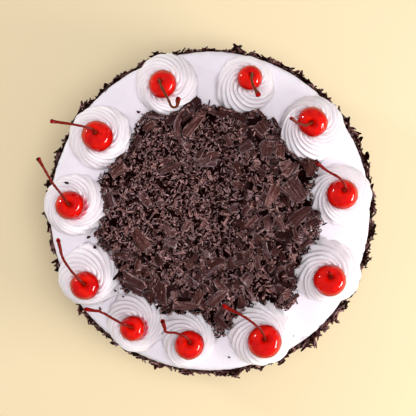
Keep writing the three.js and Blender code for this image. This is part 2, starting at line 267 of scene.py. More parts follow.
def creamMaterial(name, look):
    material, tree, surface = newMaterial(name, {
        "Roughness": look["roughness"], "Specular IOR Level": look["shine"],
        "Subsurface Weight": look["depth"], "Subsurface Radius": look["glow"],
        "Subsurface Scale": look["glowScale"]})
    color = mottled(tree, look["color"], look["shade"], look["patch"], look["patchEdge"])
    if "juice" in look:
        # painted shade: the rosettes' valleys are darkened, more the deeper they are
        deep = remap(tree, readAttribute(tree, "paintedCreaseShade"), look["paintedCreaseShadeFrom"], newHigh=look["paintedCreaseShadeMost"])
        color = mixColors(tree, deep, color, look["paintedCreaseShade"])
        color = mixColors(tree, readAttribute(tree, "juice"), color, look["juice"])
    dress(tree, surface, color, grained(tree, look["grain"], look["grainRoughness"]), look["grainDepth"])
    return material


# the cream that covers the cake

creamLook = {
    "color": (0.935, 0.88, 0.93, 1), "shade": (0.9, 0.835, 0.9, 1), "patch": 14 * mm, "patchEdge": 0.25,
    "roughness": 0.42, "shine": 0.45, "depth": 0.2, "glow": (1.0, 0.8, 0.75), "glowScale": 1.5 * mm,
    "grain": 1.1 * mm, "grainRoughness": 0.6, "grainDepth": 0.06 * mm,
}
creamCoat = {
    "columns": 300, "rows": 16, "topRings": 12, "ringStep": 7.5 * mm, "firmFoot": 3 * mm,
    "edgeRadius": 4 * mm, "edgeSteps": 5, "footBevel": 1.5 * mm, "footSteps": 2,
    "wave": 0.8 * mm, "waveSize": 26 * mm, "smear": 0.25 * mm, "smearSize": 7 * mm,
    "ridge": 1.3 * mm, "ridgeSize": 3.5 * mm, "ridgeReach": 6 * mm,
}


def spreadCream():
    print("cream over the cake")
    look = creamCoat
    piece = start(bpy.ops.mesh.primitive_cylinder_add, vertices=look["columns"], radius=cakeRadius,
                  depth=cakeTop, location=(0, 0, cakeTop / 2))
    for height, width, steps in (
            (cakeTop, look["edgeRadius"], look["edgeSteps"]), (0, look["footBevel"], look["footSteps"])):
        pick(piece, "edges", lambda edge: all(abs(vert.co.z - height) < 0.01 * mm for vert in edge.verts))
        bpy.ops.mesh.bevel(offset=width, segments=steps)
    pick(piece, "edges", lambda edge: abs(edge.verts[0].co.z - edge.verts[1].co.z) > cakeTop / 2)
    bpy.ops.mesh.subdivide(number_cuts=look["rows"])
    pick(piece, "faces", lambda face: face.normal.z > 0.99 and len(face.verts) > 4)
    for ring in range(look["topRings"]):
        bpy.ops.mesh.inset(thickness=look["ringStep"])
    pick(piece, "verts", lambda vert: vert.co.z > look["firmFoot"])
    bpy.ops.object.vertex_group_add()
    bpy.ops.object.vertex_group_assign()
    bpy.ops.object.mode_set(mode="OBJECT")
    for name in ("wave", "smear"):
        roughen(piece, name, look[name + "Size"], look[name], piece.vertex_groups[0].name)
    # the uneven edge where top and side meet
    rim = piece.vertex_groups.new(name="rim")
    for vert in piece.data.vertices:
        away = max(cakeRadius - vert.co.to_2d().length, cakeTop - vert.co.z)
        if away < look["ridgeReach"]:
            rim.add([vert.index], 1 - away / look["ridgeReach"], "REPLACE")
    roughen(piece, "ridge", look["ridgeSize"], look["ridge"], "rim")
    bpy.ops.object.shade_smooth()
    hand(piece, "cakeCream", "cream", creamMaterial("whippedCream", creamLook), "cake_body")
    return piece


# the piped rosettes

# the rosettes' cream adds the cherry's juice stain and painted shade in its valleys
rosetteLook = dict(
    creamLook, color=(0.95, 0.9, 0.925, 1), shade=(0.925, 0.855, 0.885, 1), patch=9 * mm, grain=0.9 * mm,
    grainDepth=0.05 * mm, juice=(0.8, 0.13, 0.2, 1), paintedCreaseShade=(0.5, 0.38, 0.45, 1), paintedCreaseShadeFrom=0.3, paintedCreaseShadeMost=0.45)
rosetteShape = {
    "seed": 100, "arms": 14, "armPoints": (0, 0.3, 0.56, 0.8), "dips": (0, 0.12, 1, 0.3), "start": 75,
    "groove": 3.7 * mm, "grooveSpread": 0.5, "coil": 0.09, "uneven": 0.022, "sink": 0.7 * mm,
    "cherryRise": 0.5, "lipTurn": -124, "soft": 1.1 * mm, "softSize": 9 * mm, "fluff": 0.1 * mm,
    "fluffSize": 2.5 * mm, "spike": 6 * mm, "stainShift": (1.5, -0.6), "stainFade": 0.7,
}
# from the foot up: share of the radius, of the height, degrees wound, share of the cherry's shift and of the
# groove's depth
rosetteRings = [
    (1.07, 0.0, 14, 0, 0.35), (1.03, 0.045, 8, 0, 0.45), (1.02, 0.12, 4, 0, 0.55), (1.03, 0.21, 0, 0, 0.6),
    (1.03, 0.33, -7, 0.02, 0.65), (0.995, 0.45, -17, 0.07, 0.75), (0.94, 0.57, -30, 0.17, 0.85),
    (0.87, 0.69, -45, 0.3, 0.95), (0.795, 0.79, -61, 0.46, 1), (0.715, 0.875, -78, 0.62, 1),
    (0.635, 0.94, -95, 0.76, 0.9), (0.565, 0.98, -111, 0.88, 0.8),
]


def cherryCentre(topping):
    x, y = topping["cherry"]
    rise = topping["radius"] + rosetteShape["cherryRise"] * topping["across"] / 2
    return polar(topping["reach"] * mm, topping["bearing"], creamTop) + Vector((x, y, rise)) * mm


def liftRing(centre, rise, scale, degrees, shift):  # the next ring of an open edge
    bpy.ops.mesh.extrude_edges_move(TRANSFORM_OT_translate={"value": (0, 0, rise)})
    bpy.ops.transform.resize(value=(scale, scale, 1), center_override=centre)
    bpy.ops.transform.rotate(value=-math.radians(degrees), orient_axis="Z", center_override=centre)
    bpy.ops.transform.translate(value=(shift.x, shift.y, 0))


def pipeRosette(number, topping, material):
    look = rosetteShape
    draw = random.Random(look["seed"] + number)
    arms, points = look["arms"], len(look["armPoints"])
    radius = topping["radius"] * mm
    height = radius + look["sink"]
    centre = polar(topping["reach"] * mm, topping["bearing"], creamTop - look["sink"])
    shift = Vector((*topping["cherry"], 0)) * mm
    lip = topping["across"] * mm / 2 * math.sqrt(1 - look["cherryRise"] ** 2) / radius
    wound = look["lipTurn"]
    rings = [*rosetteRings, (lip + 0.01, 1.0, wound, 1, 0.7), (0.8 * lip, 0.9, wound, 1, 0)]

    share, rise, turn, inward = rings[0][:4]
    piece = start(bpy.ops.mesh.primitive_circle_add, vertices=arms * points, radius=share * radius,
                  location=centre)
    mesh = bmesh.from_edit_mesh(piece.data)
    valley = mesh.verts.layers.int.new("valley")
    coilStart = draw.uniform(0, 1)
    for vert in mesh.verts:
        arm, point = divmod(vert.index, points)
        around = (arm + look["armPoints"][point]) / arms
        coil = 1 + look["coil"] * (0.5 - (around - coilStart) % 1) + look["uneven"] * draw.uniform(-1, 1)
        vert.co = centre + polar(share * radius * coil, number * look["start"] + 360 * around)
        vert[valley] = vert.index + 1
    bmesh.update_edit_mesh(piece.data)
    bpy.ops.mesh.select_all(action="SELECT")
    bpy.ops.mesh.edge_face_add()
    pick(piece, "edges", lambda edge: True)
    middle = centre.copy()
    for ring in rings[1:]:
        step = (ring[1] - rise) * height
        slide = (ring[3] - inward) * shift
        liftRing(middle, step, ring[0] / share, ring[2] - turn, slide)
        middle += slide
        middle.z += step
        share, rise, turn, inward = ring[:4]
    bpy.ops.mesh.edge_face_add()
    bpy.ops.mesh.select_all(action="SELECT")
    bpy.ops.mesh.normals_make_consistent(inside=False)

    # the valleys between the arms, shallow at the foot and deep near the cherry
    depths = [look["groove"] * (1 + look["grooveSpread"] * draw.uniform(-1, 1)) for arm in range(arms)]
    spikes = [look["spike"] * topping["ragged"] * draw.uniform(0.3, 1) for arm in range(arms)]
    heights = [ring[1] for ring in rings[:-1]]
    shares = [ring[4] for ring in rings[:-1]]
    mesh = bmesh.from_edit_mesh(piece.data)
    mesh.normal_update()
    valley = mesh.verts.layers.int["valley"]
    # painted shade: each point keeps how deep its valley is, which darkens the cream there
    paintedCreaseShade = mesh.verts.layers.float.new("paintedCreaseShade")
    sharp = mesh.verts.layers.float.new("crease_vert")
    moves = []
    for vert in mesh.verts:
        arm, point = divmod(vert[valley] - 1, points)
        level = (vert.co.z - centre.z) / height
        share = numpy.interp(level, heights, shares) * look["dips"][point]
        move = vert.normal * depths[arm] * share
        vert[paintedCreaseShade] = share
        if point == 0:  # the ridges end in points that lie over the bed
            away = (vert.co - centre).to_2d().normalized()
            towardsBed = max(0, min(1, 0.2 - 1.4 * away.dot(centre.to_2d().normalized())))
            out = spikes[arm] * towardsBed * numpy.interp(level, (0, 0.1, 0.22, 0.5), (0.3, 1, 1, 0))
            move -= away.to_3d() * out * draw.uniform(0.7, 1.1)
            vert[sharp] = towardsBed if 0.02 < level < 0.4 else 0
        moves.append((vert, move))
    for vert, move in moves:
        vert.co -= move
    bmesh.update_edit_mesh(piece.data)
    bpy.ops.object.mode_set(mode="OBJECT")
    applyModifier(piece, "SUBSURF", levels=2, render_levels=2)
    for name in ("soft", "fluff"):
        roughen(piece, name, look[name + "Size"], look[name])
    bpy.ops.object.shade_smooth()

    # juice of the cherry, thin on the cream beside it
    stained = numpy.array(cherryCentre(topping)[:2]) + numpy.array(look["stainShift"]) * mm
    places = numpy.array([vert.co for vert in piece.data.vertices])
    away = numpy.linalg.norm(places[:, :2] - stained, axis=1) / mm - topping["across"] / 2
    pointAttribute(piece, "juice", topping["juice"] * numpy.clip(-away / look["stainFade"], 0, 1))
    hand(piece, f"rosette{number:02d}", "cream", material, f"rosette_{number:02d}")
    return piece


# the cherries

cherryShape = {
    "segments": 40, "rings": 26, "flatness": 0.94, "dimpleReach": 0.9, "dimpleWidth": 0.5,
    "dimpleDepth": 0.27, "dimpleShade": 0.17, "uneven": 0.08, "unevenSize": 0.9,
}
cherrySkin = {
    # dark is the dimple's colour, partly the stem scar's own and partly painted shade in the hollow
    "color": (0.6, 0.001, 0.002, 1), "pale": (0.88, 0.008, 0.001, 1), "dark": (0.04, 0.001, 0.001, 1),
    # rim is painted shade: the skin darkens towards its outline as seen
    "rim": (0.2, 0.0, 0.001, 1), "paintedRimShadeBlend": 0.3, "paintedRimShadeFrom": 0.15, "paintedRimShadeTo": 0.9,
    "patch": 6 * mm, "patchEdge": 0.15, "roughness": 0.06, "shine": 0.38, "dimpleShine": 0.2,
    "depth": 0.08, "glow": (1.0, 0.1, 0.05), "glowScale": 2 * mm,
    "bumps": 4 * mm, "bumpRoughness": 0.3, "bumpDepth": 0.014 * mm,
}


def cherryAxis(topping):
    x, y = topping["dimple"]
    reach = cherryShape["dimpleReach"] * topping["across"] / 2
    return Vector((x, y, math.sqrt(reach ** 2 - x ** 2 - y ** 2))).normalized()


def cherryMaterial():
    look = cherrySkin
    material, tree, surface = newMaterial("glossyCherry", {
        "Roughness": look["roughness"], "Subsurface Weight": look["depth"],
        "Subsurface Radius": look["glow"], "Subsurface Scale": look["glowScale"]})
    color = mottled(tree, look["color"], look["pale"], look["patch"], look["patchEdge"])
    # the dimple is dark: partly the stem scar's own colour, partly painted shade in the hollow
    hollow = readAttribute(tree, "dimple")
    color = mixColors(tree, hollow, color, look["dark"])
    # painted shade: darker where the skin turns away from the view, towards its outline
    paintedRimShadeFactor = addNode(tree, "LayerWeight", {"Blend": look["paintedRimShadeBlend"]}).outputs["Facing"]
    color = mixColors(tree, remap(tree, paintedRimShadeFactor, look["paintedRimShadeFrom"], look["paintedRimShadeTo"]), color, look["rim"])
    shine = mixValues(tree, hollow, look["shine"], look["dimpleShine"])
    tree.links.new(shine, surface["Specular IOR Level"])
    dress(tree, surface, color, grained(tree, look["bumps"], look["bumpRoughness"]), look["bumpDepth"])
    return material


def makeCherry(number, topping, material):
    look = cherryShape
    radius = topping["across"] * mm / 2
    piece = start(bpy.ops.mesh.primitive_uv_sphere_add, segments=look["segments"], ring_count=look["rings"],
                  radius=radius)
    bpy.ops.transform.resize(value=(1, 1, look["flatness"]))
    moveVerts(piece, lambda vert: vert.co.z > 0.999 * (look["flatness"] * radius),
              (0, 0, -look["dimpleDepth"] * radius), use_proportional_edit=True,
              proportional_edit_falloff="SMOOTH", proportional_size=look["dimpleWidth"] * radius)
    bpy.ops.object.mode_set(mode="OBJECT")
    reach = [vert.co.to_2d().length / radius if vert.co.z > 0 else 1 for vert in piece.data.vertices]
    # marks the dimple, whose dark colour is partly the stem scar's own and partly painted shade
    pointAttribute(piece, "dimple", [min(1, max(0, 1.4 - value / look["dimpleShade"])) for value in reach])
    bearing, longer = topping["stretch"]
    turn = math.radians(bearing)
    applyTransform(piece, rotation_euler=(0, 0, turn))
    applyTransform(piece, scale=(longer, 1 / longer, 1))
    tipped = upwards.rotation_difference(cherryAxis(topping)).to_matrix() @ Matrix.Rotation(turn, 3, "Z")
    applyTransform(piece, rotation_euler=tipped.to_euler(), location=cherryCentre(topping))
    roughen(piece, "plump", look["unevenSize"] * radius, look["uneven"] * radius)
    applyModifier(piece, "SUBSURF", levels=1, render_levels=1)
    bpy.ops.object.shade_smooth()
    fitTo(piece, f"cherry_{number:02d}")
    hand(piece, f"cherry{number:02d}", "cherry", material, f"cherry_{number:02d}")


# the stems, with their thickness in mm

stemShape = {
    "lift": 0.4, "rooted": 3, "root": 1.05, "thin": 0.76, "thick": 1.0, "resolution": 10, "sides": 3,
    "steps": 8, "knobbly": 0.55 * mm, "knobblySize": 1.3 * mm,
}
stemColors = {
    "olive": (0.12, 0.042, 0.009, 1), "red": (0.2, 0.0015, 0.002, 1), "tip": (0.4, 0.001, 0.002, 1),
    "tipDark": (0.03, 0.001, 0.001, 1), "tipPatch": 2.2 * mm, "tipEdge": 0.05, "tipFrom": 0.72, "tipTo": 0.92,
    "root": (0.4, 0.06, 0.03, 1), "rootTo": 0.14, "roughness": 0.2, "shine": 0.13,
    "grain": 0.7 * mm, "grainRoughness": 0.6, "grainDepth": 0.1 * mm,
}


def stemMaterial():
    look = stemColors
    material, tree, surface = newMaterial(
        "cherryStalk", {"Roughness": look["roughness"], "Specular IOR Level": look["shine"]})
    color = mixColors(tree, readAttribute(tree, "olive"), look["red"], look["olive"])
    along = readAttribute(tree, "along")
    ends = mottled(tree, look["tipDark"], look["tip"], look["tipPatch"], look["tipEdge"])
    color = mixColors(tree, remap(tree, along, look["tipFrom"], look["tipTo"]), color, ends)
    color = mixColors(tree, remap(tree, along, look["rootTo"], 0.0), color, look["root"])
    dress(tree, surface, color, grained(tree, look["grain"], look["grainRoughness"]), look["grainDepth"])
    return material


def stemWay(topping):  # points and thickness, from the dimple to the knob
    look = stemShape
    centre = cherryCentre(topping)
    axis = cherryAxis(topping)
    floor = (cherryShape["flatness"] - cherryShape["dimpleDepth"]) * topping["across"] / 2 + look["lift"]
    way = [axis * (floor - 1), axis * (floor + look["rooted"])] + [Vector(point) for point in topping["stem"]]
    last = (way[-1] - way[-2]).normalized()
    tip = way.pop()
    knob, knobLength = topping["knob"]
    way += [tip - last * 1.6 * knobLength, tip - last * 0.6 * knobLength, tip, tip + last * 0.35 * knobLength]
    thickness = [look["root"]] + [look["thin"]] * (len(way) - 5)
    thickness += [look["thick"], knob * 0.85, knob, knob * 0.45]
    return [centre + point * mm for point in way], thickness


def growStem(number, topping, material):
    look = stemShape
    way, thickness = stemWay(topping)
    bpy.ops.object.select_all(action="DESELECT")
    bpy.ops.curve.primitive_bezier_curve_add(location=(0, 0, 0))
    curve = bpy.context.object.data
    spline = curve.splines[0]
    spline.bezier_points.add(len(way) - 2)
    for point, place, thick in zip(spline.bezier_points, way, thickness):
        point.co = place
        point.radius = thick
        point.handle_left_type = "AUTO"
        point.handle_right_type = "AUTO"
    curve.dimensions = "3D"
    curve.resolution_u = look["resolution"]
    curve.bevel_depth = 1 * mm
    curve.bevel_resolution = look["sides"]
    curve.use_fill_caps = True
    bpy.ops.object.convert(target="MESH")
    piece = bpy.context.object
    steps = look["steps"]
    line = [way[i].lerp(way[i + 1], k / steps) for i in range(len(way) - 1) for k in range(steps)]
    along = []
    for vert in piece.data.vertices:
        nearest = min(range(len(line)), key=lambda i: (line[i] - vert.co).length_squared)
        along.append(nearest / (len(line) - 1))
    pointAttribute(piece, "along", along)
    pointAttribute(piece, "olive", [topping["olive"] * (1 - 0.6 * share) for share in along])
    roughen(piece, "stalk", look["knobblySize"], look["knobbly"])
    bpy.ops.object.shade_smooth()
    hand(piece, f"stem{number:02d}", "stem", material, f"stem_{number:02d}")


# chocolate: pieces that are modelled once and scattered

chocolateColors = {
    "dark": (0.006, 0.0005, 0.0003, 1), "middle": (0.1, 0.03, 0.025, 1), "light": (0.29, 0.15, 0.14, 1),
    # the pale colour of the top edges: partly cocoa dust, partly painted highlight
    "dustAndHighlightColor": (0.55, 0.33, 0.31, 1), "warm": (1.08, 0.95, 0.9, 1), "cool": (0.92, 1.0, 1.1, 1),
    "roughness": 0.6, "grainRoughness": 0.7, "dustAndHighlightFrom": 0.04, "dustAndHighlightTo": 0.5,
    "speckle": (0.3, 1.6), "stripedSpeckle": (0.6, 1.3), "stripeShare": 0.6,
}


def cocoaGroup():  # chocolate from the dark tone, which paints the shade of the gaps, to pale top edges, partly cocoa dust and partly painted highlight; Edge and Tone run from 0 to 1
    look = chocolateColors
    group, given, result = newGroup(
        "cocoaDustAndHighlight", {"Edge": 0.0, "Tone": 0.5, "Grain": 0.5, "DustAndHighlight": 1.0, "Tint": 0.5, "Hue": (1, 1, 1, 1)},
        ["Color", "Mask"])
    dustAndHighlightShare = given["Edge"]
    for other in ("Grain", "DustAndHighlight", "Tone"):
        dustAndHighlightShare = combine(group, "MULTIPLY", dustAndHighlightShare, given[other])
    mask = remap(group, dustAndHighlightShare, look["dustAndHighlightFrom"], look["dustAndHighlightTo"])
    color = mixColors(group, remap(group, given["Tone"], 0.0, 0.5), look["dark"], look["middle"])
    color = mixColors(group, remap(group, given["Tone"], 0.5, 1.0), color, look["light"])
    color = mixColors(group, mask, color, look["dustAndHighlightColor"])
    for other in (mixColors(group, given["Tint"], look["warm"], look["cool"]), given["Hue"]):
        color = mixColors(group, 1.0, color, other, "MULTIPLY")
    group.links.new(color, result["Color"])
    group.links.new(mask, result["Mask"])
    return group


cocoaDustAndHighlight = cocoaGroup()


# the first number after the name is how pale its top edges are, partly cocoa dust and partly painted
# highlight; grain and depth are its bumps in mm, scratch is how dark and pale its lines
def chocolateMaterial(name, dustAndHighlightStrength, grain, depth, striped=False, sheen=0.0, scratch=(0.8, 1.1),
                      hue=(1, 1, 1, 1)):
    look = chocolateColors
    material, tree, surface = newMaterial(name, {"Roughness": look["roughness"], "Specular IOR Level": sheen})
    grains = grained(tree, grain * mm, look["grainRoughness"])
    relief = grains
    tone = readAttribute(tree, "tone")
    place = readAttribute(tree, "stripe", "Vector")
    own = addNode(tree, "SeparateXYZ", {0: place}).outputs[2]  # a number of each shaving's own
    drift = addNode(tree, "TexNoise", {"W": own, "Scale": 1.0, "Detail": 0.0}, noise_dimensions="1D")
    if striped:  # fine lines that the knife left along the shaving
        stripes = addNode(tree, "TexNoise", {"Vector": place, "Scale": 1.0, "Detail": 2.0}).outputs[0]
        relief = mixValues(tree, look["stripeShare"], grains, stripes)
        tone = combine(tree, "MULTIPLY", tone, remap(tree, stripes, 0.38, 0.6, *scratch))
    speckle = look["stripedSpeckle"] if striped else look["speckle"]
    tone = combine(tree, "MULTIPLY", tone, remap(tree, grains, 0.36, 0.64, *speckle))
    cocoa = addNode(tree, "Group", {
        "Edge": readAttribute(tree, "edge"), "Tone": tone, "Grain": relief, "DustAndHighlight": dustAndHighlightStrength,
        "Tint": remap(tree, drift.outputs[0], 0.3, 0.7), "Hue": hue}, node_tree=cocoaDustAndHighlight)
    dress(tree, surface, cocoa.outputs["Color"], relief, depth * mm)
    return material


# the edge marks pick the top edges, which the chocolate paints pale: cocoa dust and painted highlight
def takeMaster(piece, edgeTest):  # points, faces and edge marks of a master, which is then removed
    bpy.ops.object.mode_set(mode="OBJECT")
    mesh = piece.data
    points = numpy.array([vert.co for vert in mesh.vertices])
    faces = [tuple(face.vertices) for face in mesh.polygons]
    edge = numpy.array([edgeTest(vert) for vert in mesh.vertices], dtype=float)
    bpy.data.objects.remove(piece)
    return {"points": points, "faces": faces, "edge": edge, "flat": points[:, :2].copy()}


def cutSplinter(seed):  # a three-sided sliver, bent and ragged, in a unit box
    draw = random.Random(seed)
    piece = start(bpy.ops.mesh.primitive_cylinder_add, vertices=3, radius=0.5, depth=1,
                  rotation=(0, math.radians(90), 0))
    pick(piece, "edges", lambda edge: abs(edge.verts[0].co.x - edge.verts[1].co.x) > 0.5)
    bpy.ops.mesh.subdivide(number_cuts=2)
    bpy.ops.mesh.select_all(action="SELECT")
    bpy.ops.transform.vertex_random(offset=0.14, seed=seed)
    bow = (0, draw.uniform(-0.35, 0.35), draw.uniform(0.1, 0.6))
    moveVerts(piece, lambda vert: abs(vert.co.x) < 0.3, bow)
    for side in (-1, 1):
        scale = draw.uniform(0.3, 0.9)
        resizeVerts(piece, lambda vert: vert.co.x * side > 0.3, (1, scale, scale))
    return takeMaster(piece, lambda vert: vert.co.z > 0.25)


def cutCrumb(seed):  # a chunky bit with uneven corners, in a unit box
    piece = start(bpy.ops.mesh.primitive_cube_add, size=1)
    bpy.ops.transform.vertex_random(offset=0.3, seed=seed)
    pick(piece, "faces", lambda face: face.normal.z > 0.5)
    bpy.ops.transform.resize(value=(0.7, 0.7, 1))
    return takeMaster(piece, lambda vert: vert.co.z > 0)


def cutFlake(seed, corners=7):  # a thin plate with a ragged outline, in a unit box
    draw = random.Random(seed)
    middle = (0, 0, 0)
    piece = start(bpy.ops.mesh.primitive_cylinder_add, vertices=corners, radius=0.5, depth=1,
                  end_fill_type="TRIFAN")
    bpy.ops.transform.rotate(value=draw.uniform(0, 3), orient_axis="Z", center_override=middle)
    for corner in range(corners):
        angle = 2 * math.pi * draw.random()
        scale = draw.uniform(0.62, 1.25)
        resizeVerts(piece, lambda vert: vert.co.to_2d().length > 0.1
                    and math.cos(math.atan2(vert.co.y, vert.co.x) - angle) > 0.93,
                    (scale, scale, 1), center_override=middle)
    for side in (-1, 1):  # narrower and lifted towards the ends
        resizeVerts(piece, lambda vert: vert.co.x * side > 0.12, (1, draw.uniform(0.35, 1), 1),
                    center_override=middle)
        moveVerts(piece, lambda vert: vert.co.x * side > 0.28,
                  (0, draw.uniform(-0.2, 0.2), draw.uniform(-0.9, 0.7)))
    moveVerts(piece, lambda vert: vert.co.to_2d().length < 0.1,
              (draw.uniform(-0.12, 0.12), draw.uniform(-0.12, 0.12), draw.uniform(-0.5, 0.6)))
    return takeMaster(piece, lambda vert: vert.co.to_2d().length > 0.2 and vert.co.z > 0)


shardShape = {
    "corners": (4, 5, 5, 6), "slimFrom": 3.4, "cutFrom": 0.34, "slimCutFrom": 0.43, "cutTo": 0.5,
    "ragged": 0.3 * mm, "taper": 0.9, "sway": 0.2, "twist": 0.25,
    "ridge": 0.2 * mm, "slimRidge": 0.4 * mm, "fine": 0.2 * mm, "fineSize": 0.28 * mm,
}


def cutShard(seed, size, bow, roll, bend=0):  # a shaving at true size, bowed and bent along, rolled across
    look = shardShape
    draw = random.Random(seed)
    length, width, thick = size
    piece = start(bpy.ops.mesh.primitive_grid_add, (length, width, 1), size=1,
                  x_subdivisions=max(6, int(length / mm)), y_subdivisions=max(7, int(width / mm * 2)))
    corners = draw.choice(look["corners"])
    slim = length > look["slimFrom"] * width
    firstCorner = draw.uniform(0, 360)
    for corner in range(corners):
        away = polar(1, firstCorner + 360 / corners * (corner + draw.uniform(-0.3, 0.3)))
        cut = draw.uniform(look["slimCutFrom"] if slim else look["cutFrom"], look["cutTo"])
        reach = (abs(away.x) * length + abs(away.y) * width) * cut
        bpy.ops.mesh.select_all(action="SELECT")
        bpy.ops.mesh.bisect(plane_co=away * reach, plane_no=away, clear_outer=True)
    pick(piece, "verts", lambda vert: vert.is_boundary)
    bpy.ops.transform.vertex_random(offset=look["ragged"], seed=seed)
    bpy.ops.object.mode_set(mode="OBJECT")
    uses = {}
    for face in piece.data.polygons:
        for key in face.edge_keys:
            uses[key] = uses.get(key, 0) + 1
    rims = {corner for key, count in uses.items() if count == 1 for corner in key}
    total = len(piece.data.vertices)
    applyModifier(piece, "SOLIDIFY", thickness=thick, offset=0)
    master = takeMaster(piece, lambda vert: vert.index % total in rims)
    x, y, z = master["points"].T
    taper = draw.uniform(-look["taper"], look["taper"]) * x / length
    y = y * (1 + taper) + draw.uniform(-look["sway"], look["sway"]) * x * x / length
    ridge = look["slimRidge"] if slim else look["ridge"]
    z = z + ridge * numpy.sin(y / (0.1 * width) + 1.5 * numpy.sin(x / (9 * mm) + seed))
    z = z + look["fine"] * numpy.sin(y / look["fineSize"] + 2 * numpy.sin(x / (6 * mm) - seed))
    z = z + bow * (1 - (2 * x / length) ** 2)
    twist = draw.uniform(-look["twist"], look["twist"]) * 2 * x / length
    y, z = y * numpy.cos(twist) - z * numpy.sin(twist), y * numpy.sin(twist) + z * numpy.cos(twist)
    if roll:
        radius = width / math.radians(roll)
        angle = y / radius
        y, z = (radius + z) * numpy.sin(angle), (radius + z) * numpy.cos(angle) - radius
    if bend:
        radius = length / math.radians(bend)
        angle = x / radius
        x, y = (radius - y) * numpy.sin(angle), radius - (radius - y) * numpy.cos(angle)
    master["points"] = numpy.array((x, y, z)).T
    return master


# One joined mesh of a heap, which is its masters and its places. A place has the number of its master, a
# matrix, a middle and a tone. stripe is how far the knife's lines run along and across, in mm.
def scatter(name, heap, material, node, stripe=(14, 0.6)):
    masters, places = heap
    points, faces, edges, tones, stripes = [], [], [], [], []
    count = 0
    for index, (master, basis, middle, tone) in enumerate(places):
        shape = masters[master]
        points.append(shape["points"] @ basis.T + middle)
        faces.extend([tuple(corner + count for corner in face) for face in shape["faces"]])
        edges.append(shape["edge"])
        tones.append(numpy.full(len(shape["edge"]), tone))
        flat = shape["flat"] * (numpy.linalg.norm(basis, axis=0)[:2] / mm) / stripe
        stripes.append(numpy.column_stack((flat, numpy.full(len(flat), 1.7 * index))))
        count += len(shape["points"])
    mesh = bpy.data.meshes.new(name)
    mesh.from_pydata(numpy.concatenate(points).tolist(), [], faces)
    piece = bpy.data.objects.new(name, mesh)
    bpy.context.scene.collection.objects.link(piece)
    pointAttribute(piece, "edge", numpy.concatenate(edges))
    pointAttribute(piece, "tone", numpy.concatenate(tones))
    layer = mesh.attributes.new("stripe", "FLOAT_VECTOR", "POINT")
    layer.data.foreach_set("vector", numpy.concatenate(stripes).astype(numpy.float32).ravel())
    hand(piece, name, "chocolate", material, node)


def finishCore(piece, name, tones, material, node):
    pointAttribute(piece, "tone", tones)
    pointAttribute(piece, "edge", [0.2] * len(tones))
    bpy.ops.object.shade_smooth()
    hand(piece, name, "chocolate", chocolateMaterial(material, 0.5, 0.9, 0.4), node)


# the pile: a height map that each flake lands on, and then raises

def newPile(low, high, cell, heights, wraps=False):
    columns, rows = (int((b - a) / cell) + 1 for a, b in zip(low, high))
    across = low[0] + cell * numpy.arange(columns)
    along = low[1] + cell * numpy.arange(rows)
    return {"grid": heights(*numpy.meshgrid(across, along)), "low": low, "cell": cell, "wraps": wraps}


def layFlake(pile, place, turn, size, tilt, settle):  # gives the flake's basis and its middle on the pile
    grid, cell = pile["grid"], pile["cell"]
    steepest = 0.7
    across, along = (numpy.linspace(-0.5, 0.5, max(3, int(side / cell) + 1)) * side for side in size[:2])
    u, v = (values.ravel() for values in numpy.meshgrid(across, along))
    cosine, sine = math.cos(turn), math.sin(turn)
    column = numpy.rint((place[0] + cosine * u - sine * v - pile["low"][0]) / cell).astype(int)
    row = numpy.rint((place[1] + sine * u + cosine * v - pile["low"][1]) / cell).astype(int)
    if pile["wraps"]:
        column %= grid.shape[1]
    else:
        column = column.clip(0, grid.shape[1] - 1)
    row = row.clip(0, grid.shape[0] - 1)
    under = grid[row, column]
    slopes = []
    for offset, lean in ((u, tilt[0]), (v, tilt[1])):
        slope = float((offset * under).sum() / (offset * offset).sum())
        slopes.append(max(-steepest, min(steepest, slope)) + lean)
    plane = slopes[0] * u + slopes[1] * v
    rank = int(settle * (len(under) - 1))
    base = float(numpy.partition(under - plane, rank)[rank])
    length, width, thick = size
    grid[row, column] = numpy.maximum(under, base + plane + thick)
    first = Vector((cosine, sine, slopes[0])).normalized()
    third = first.cross(Vector((-sine, cosine, slopes[1]))).normalized()
    basis = numpy.array([first * length, third.cross(first) * width, third * thick]).T
    return basis, numpy.array((place[0], place[1], base)) + numpy.array(third) * thick / 2


def pileHeight(pile, x, y):
    grid, low, cell = pile["grid"], pile["low"], pile["cell"]
    row, column = round((y - low[1]) / cell), round((x - low[0]) / cell)
    if 0 <= row < grid.shape[0] and 0 <= column < grid.shape[1]:
        return float(grid[row, column])
    return 0.0


# the bed of shavings on top, sizes in mm

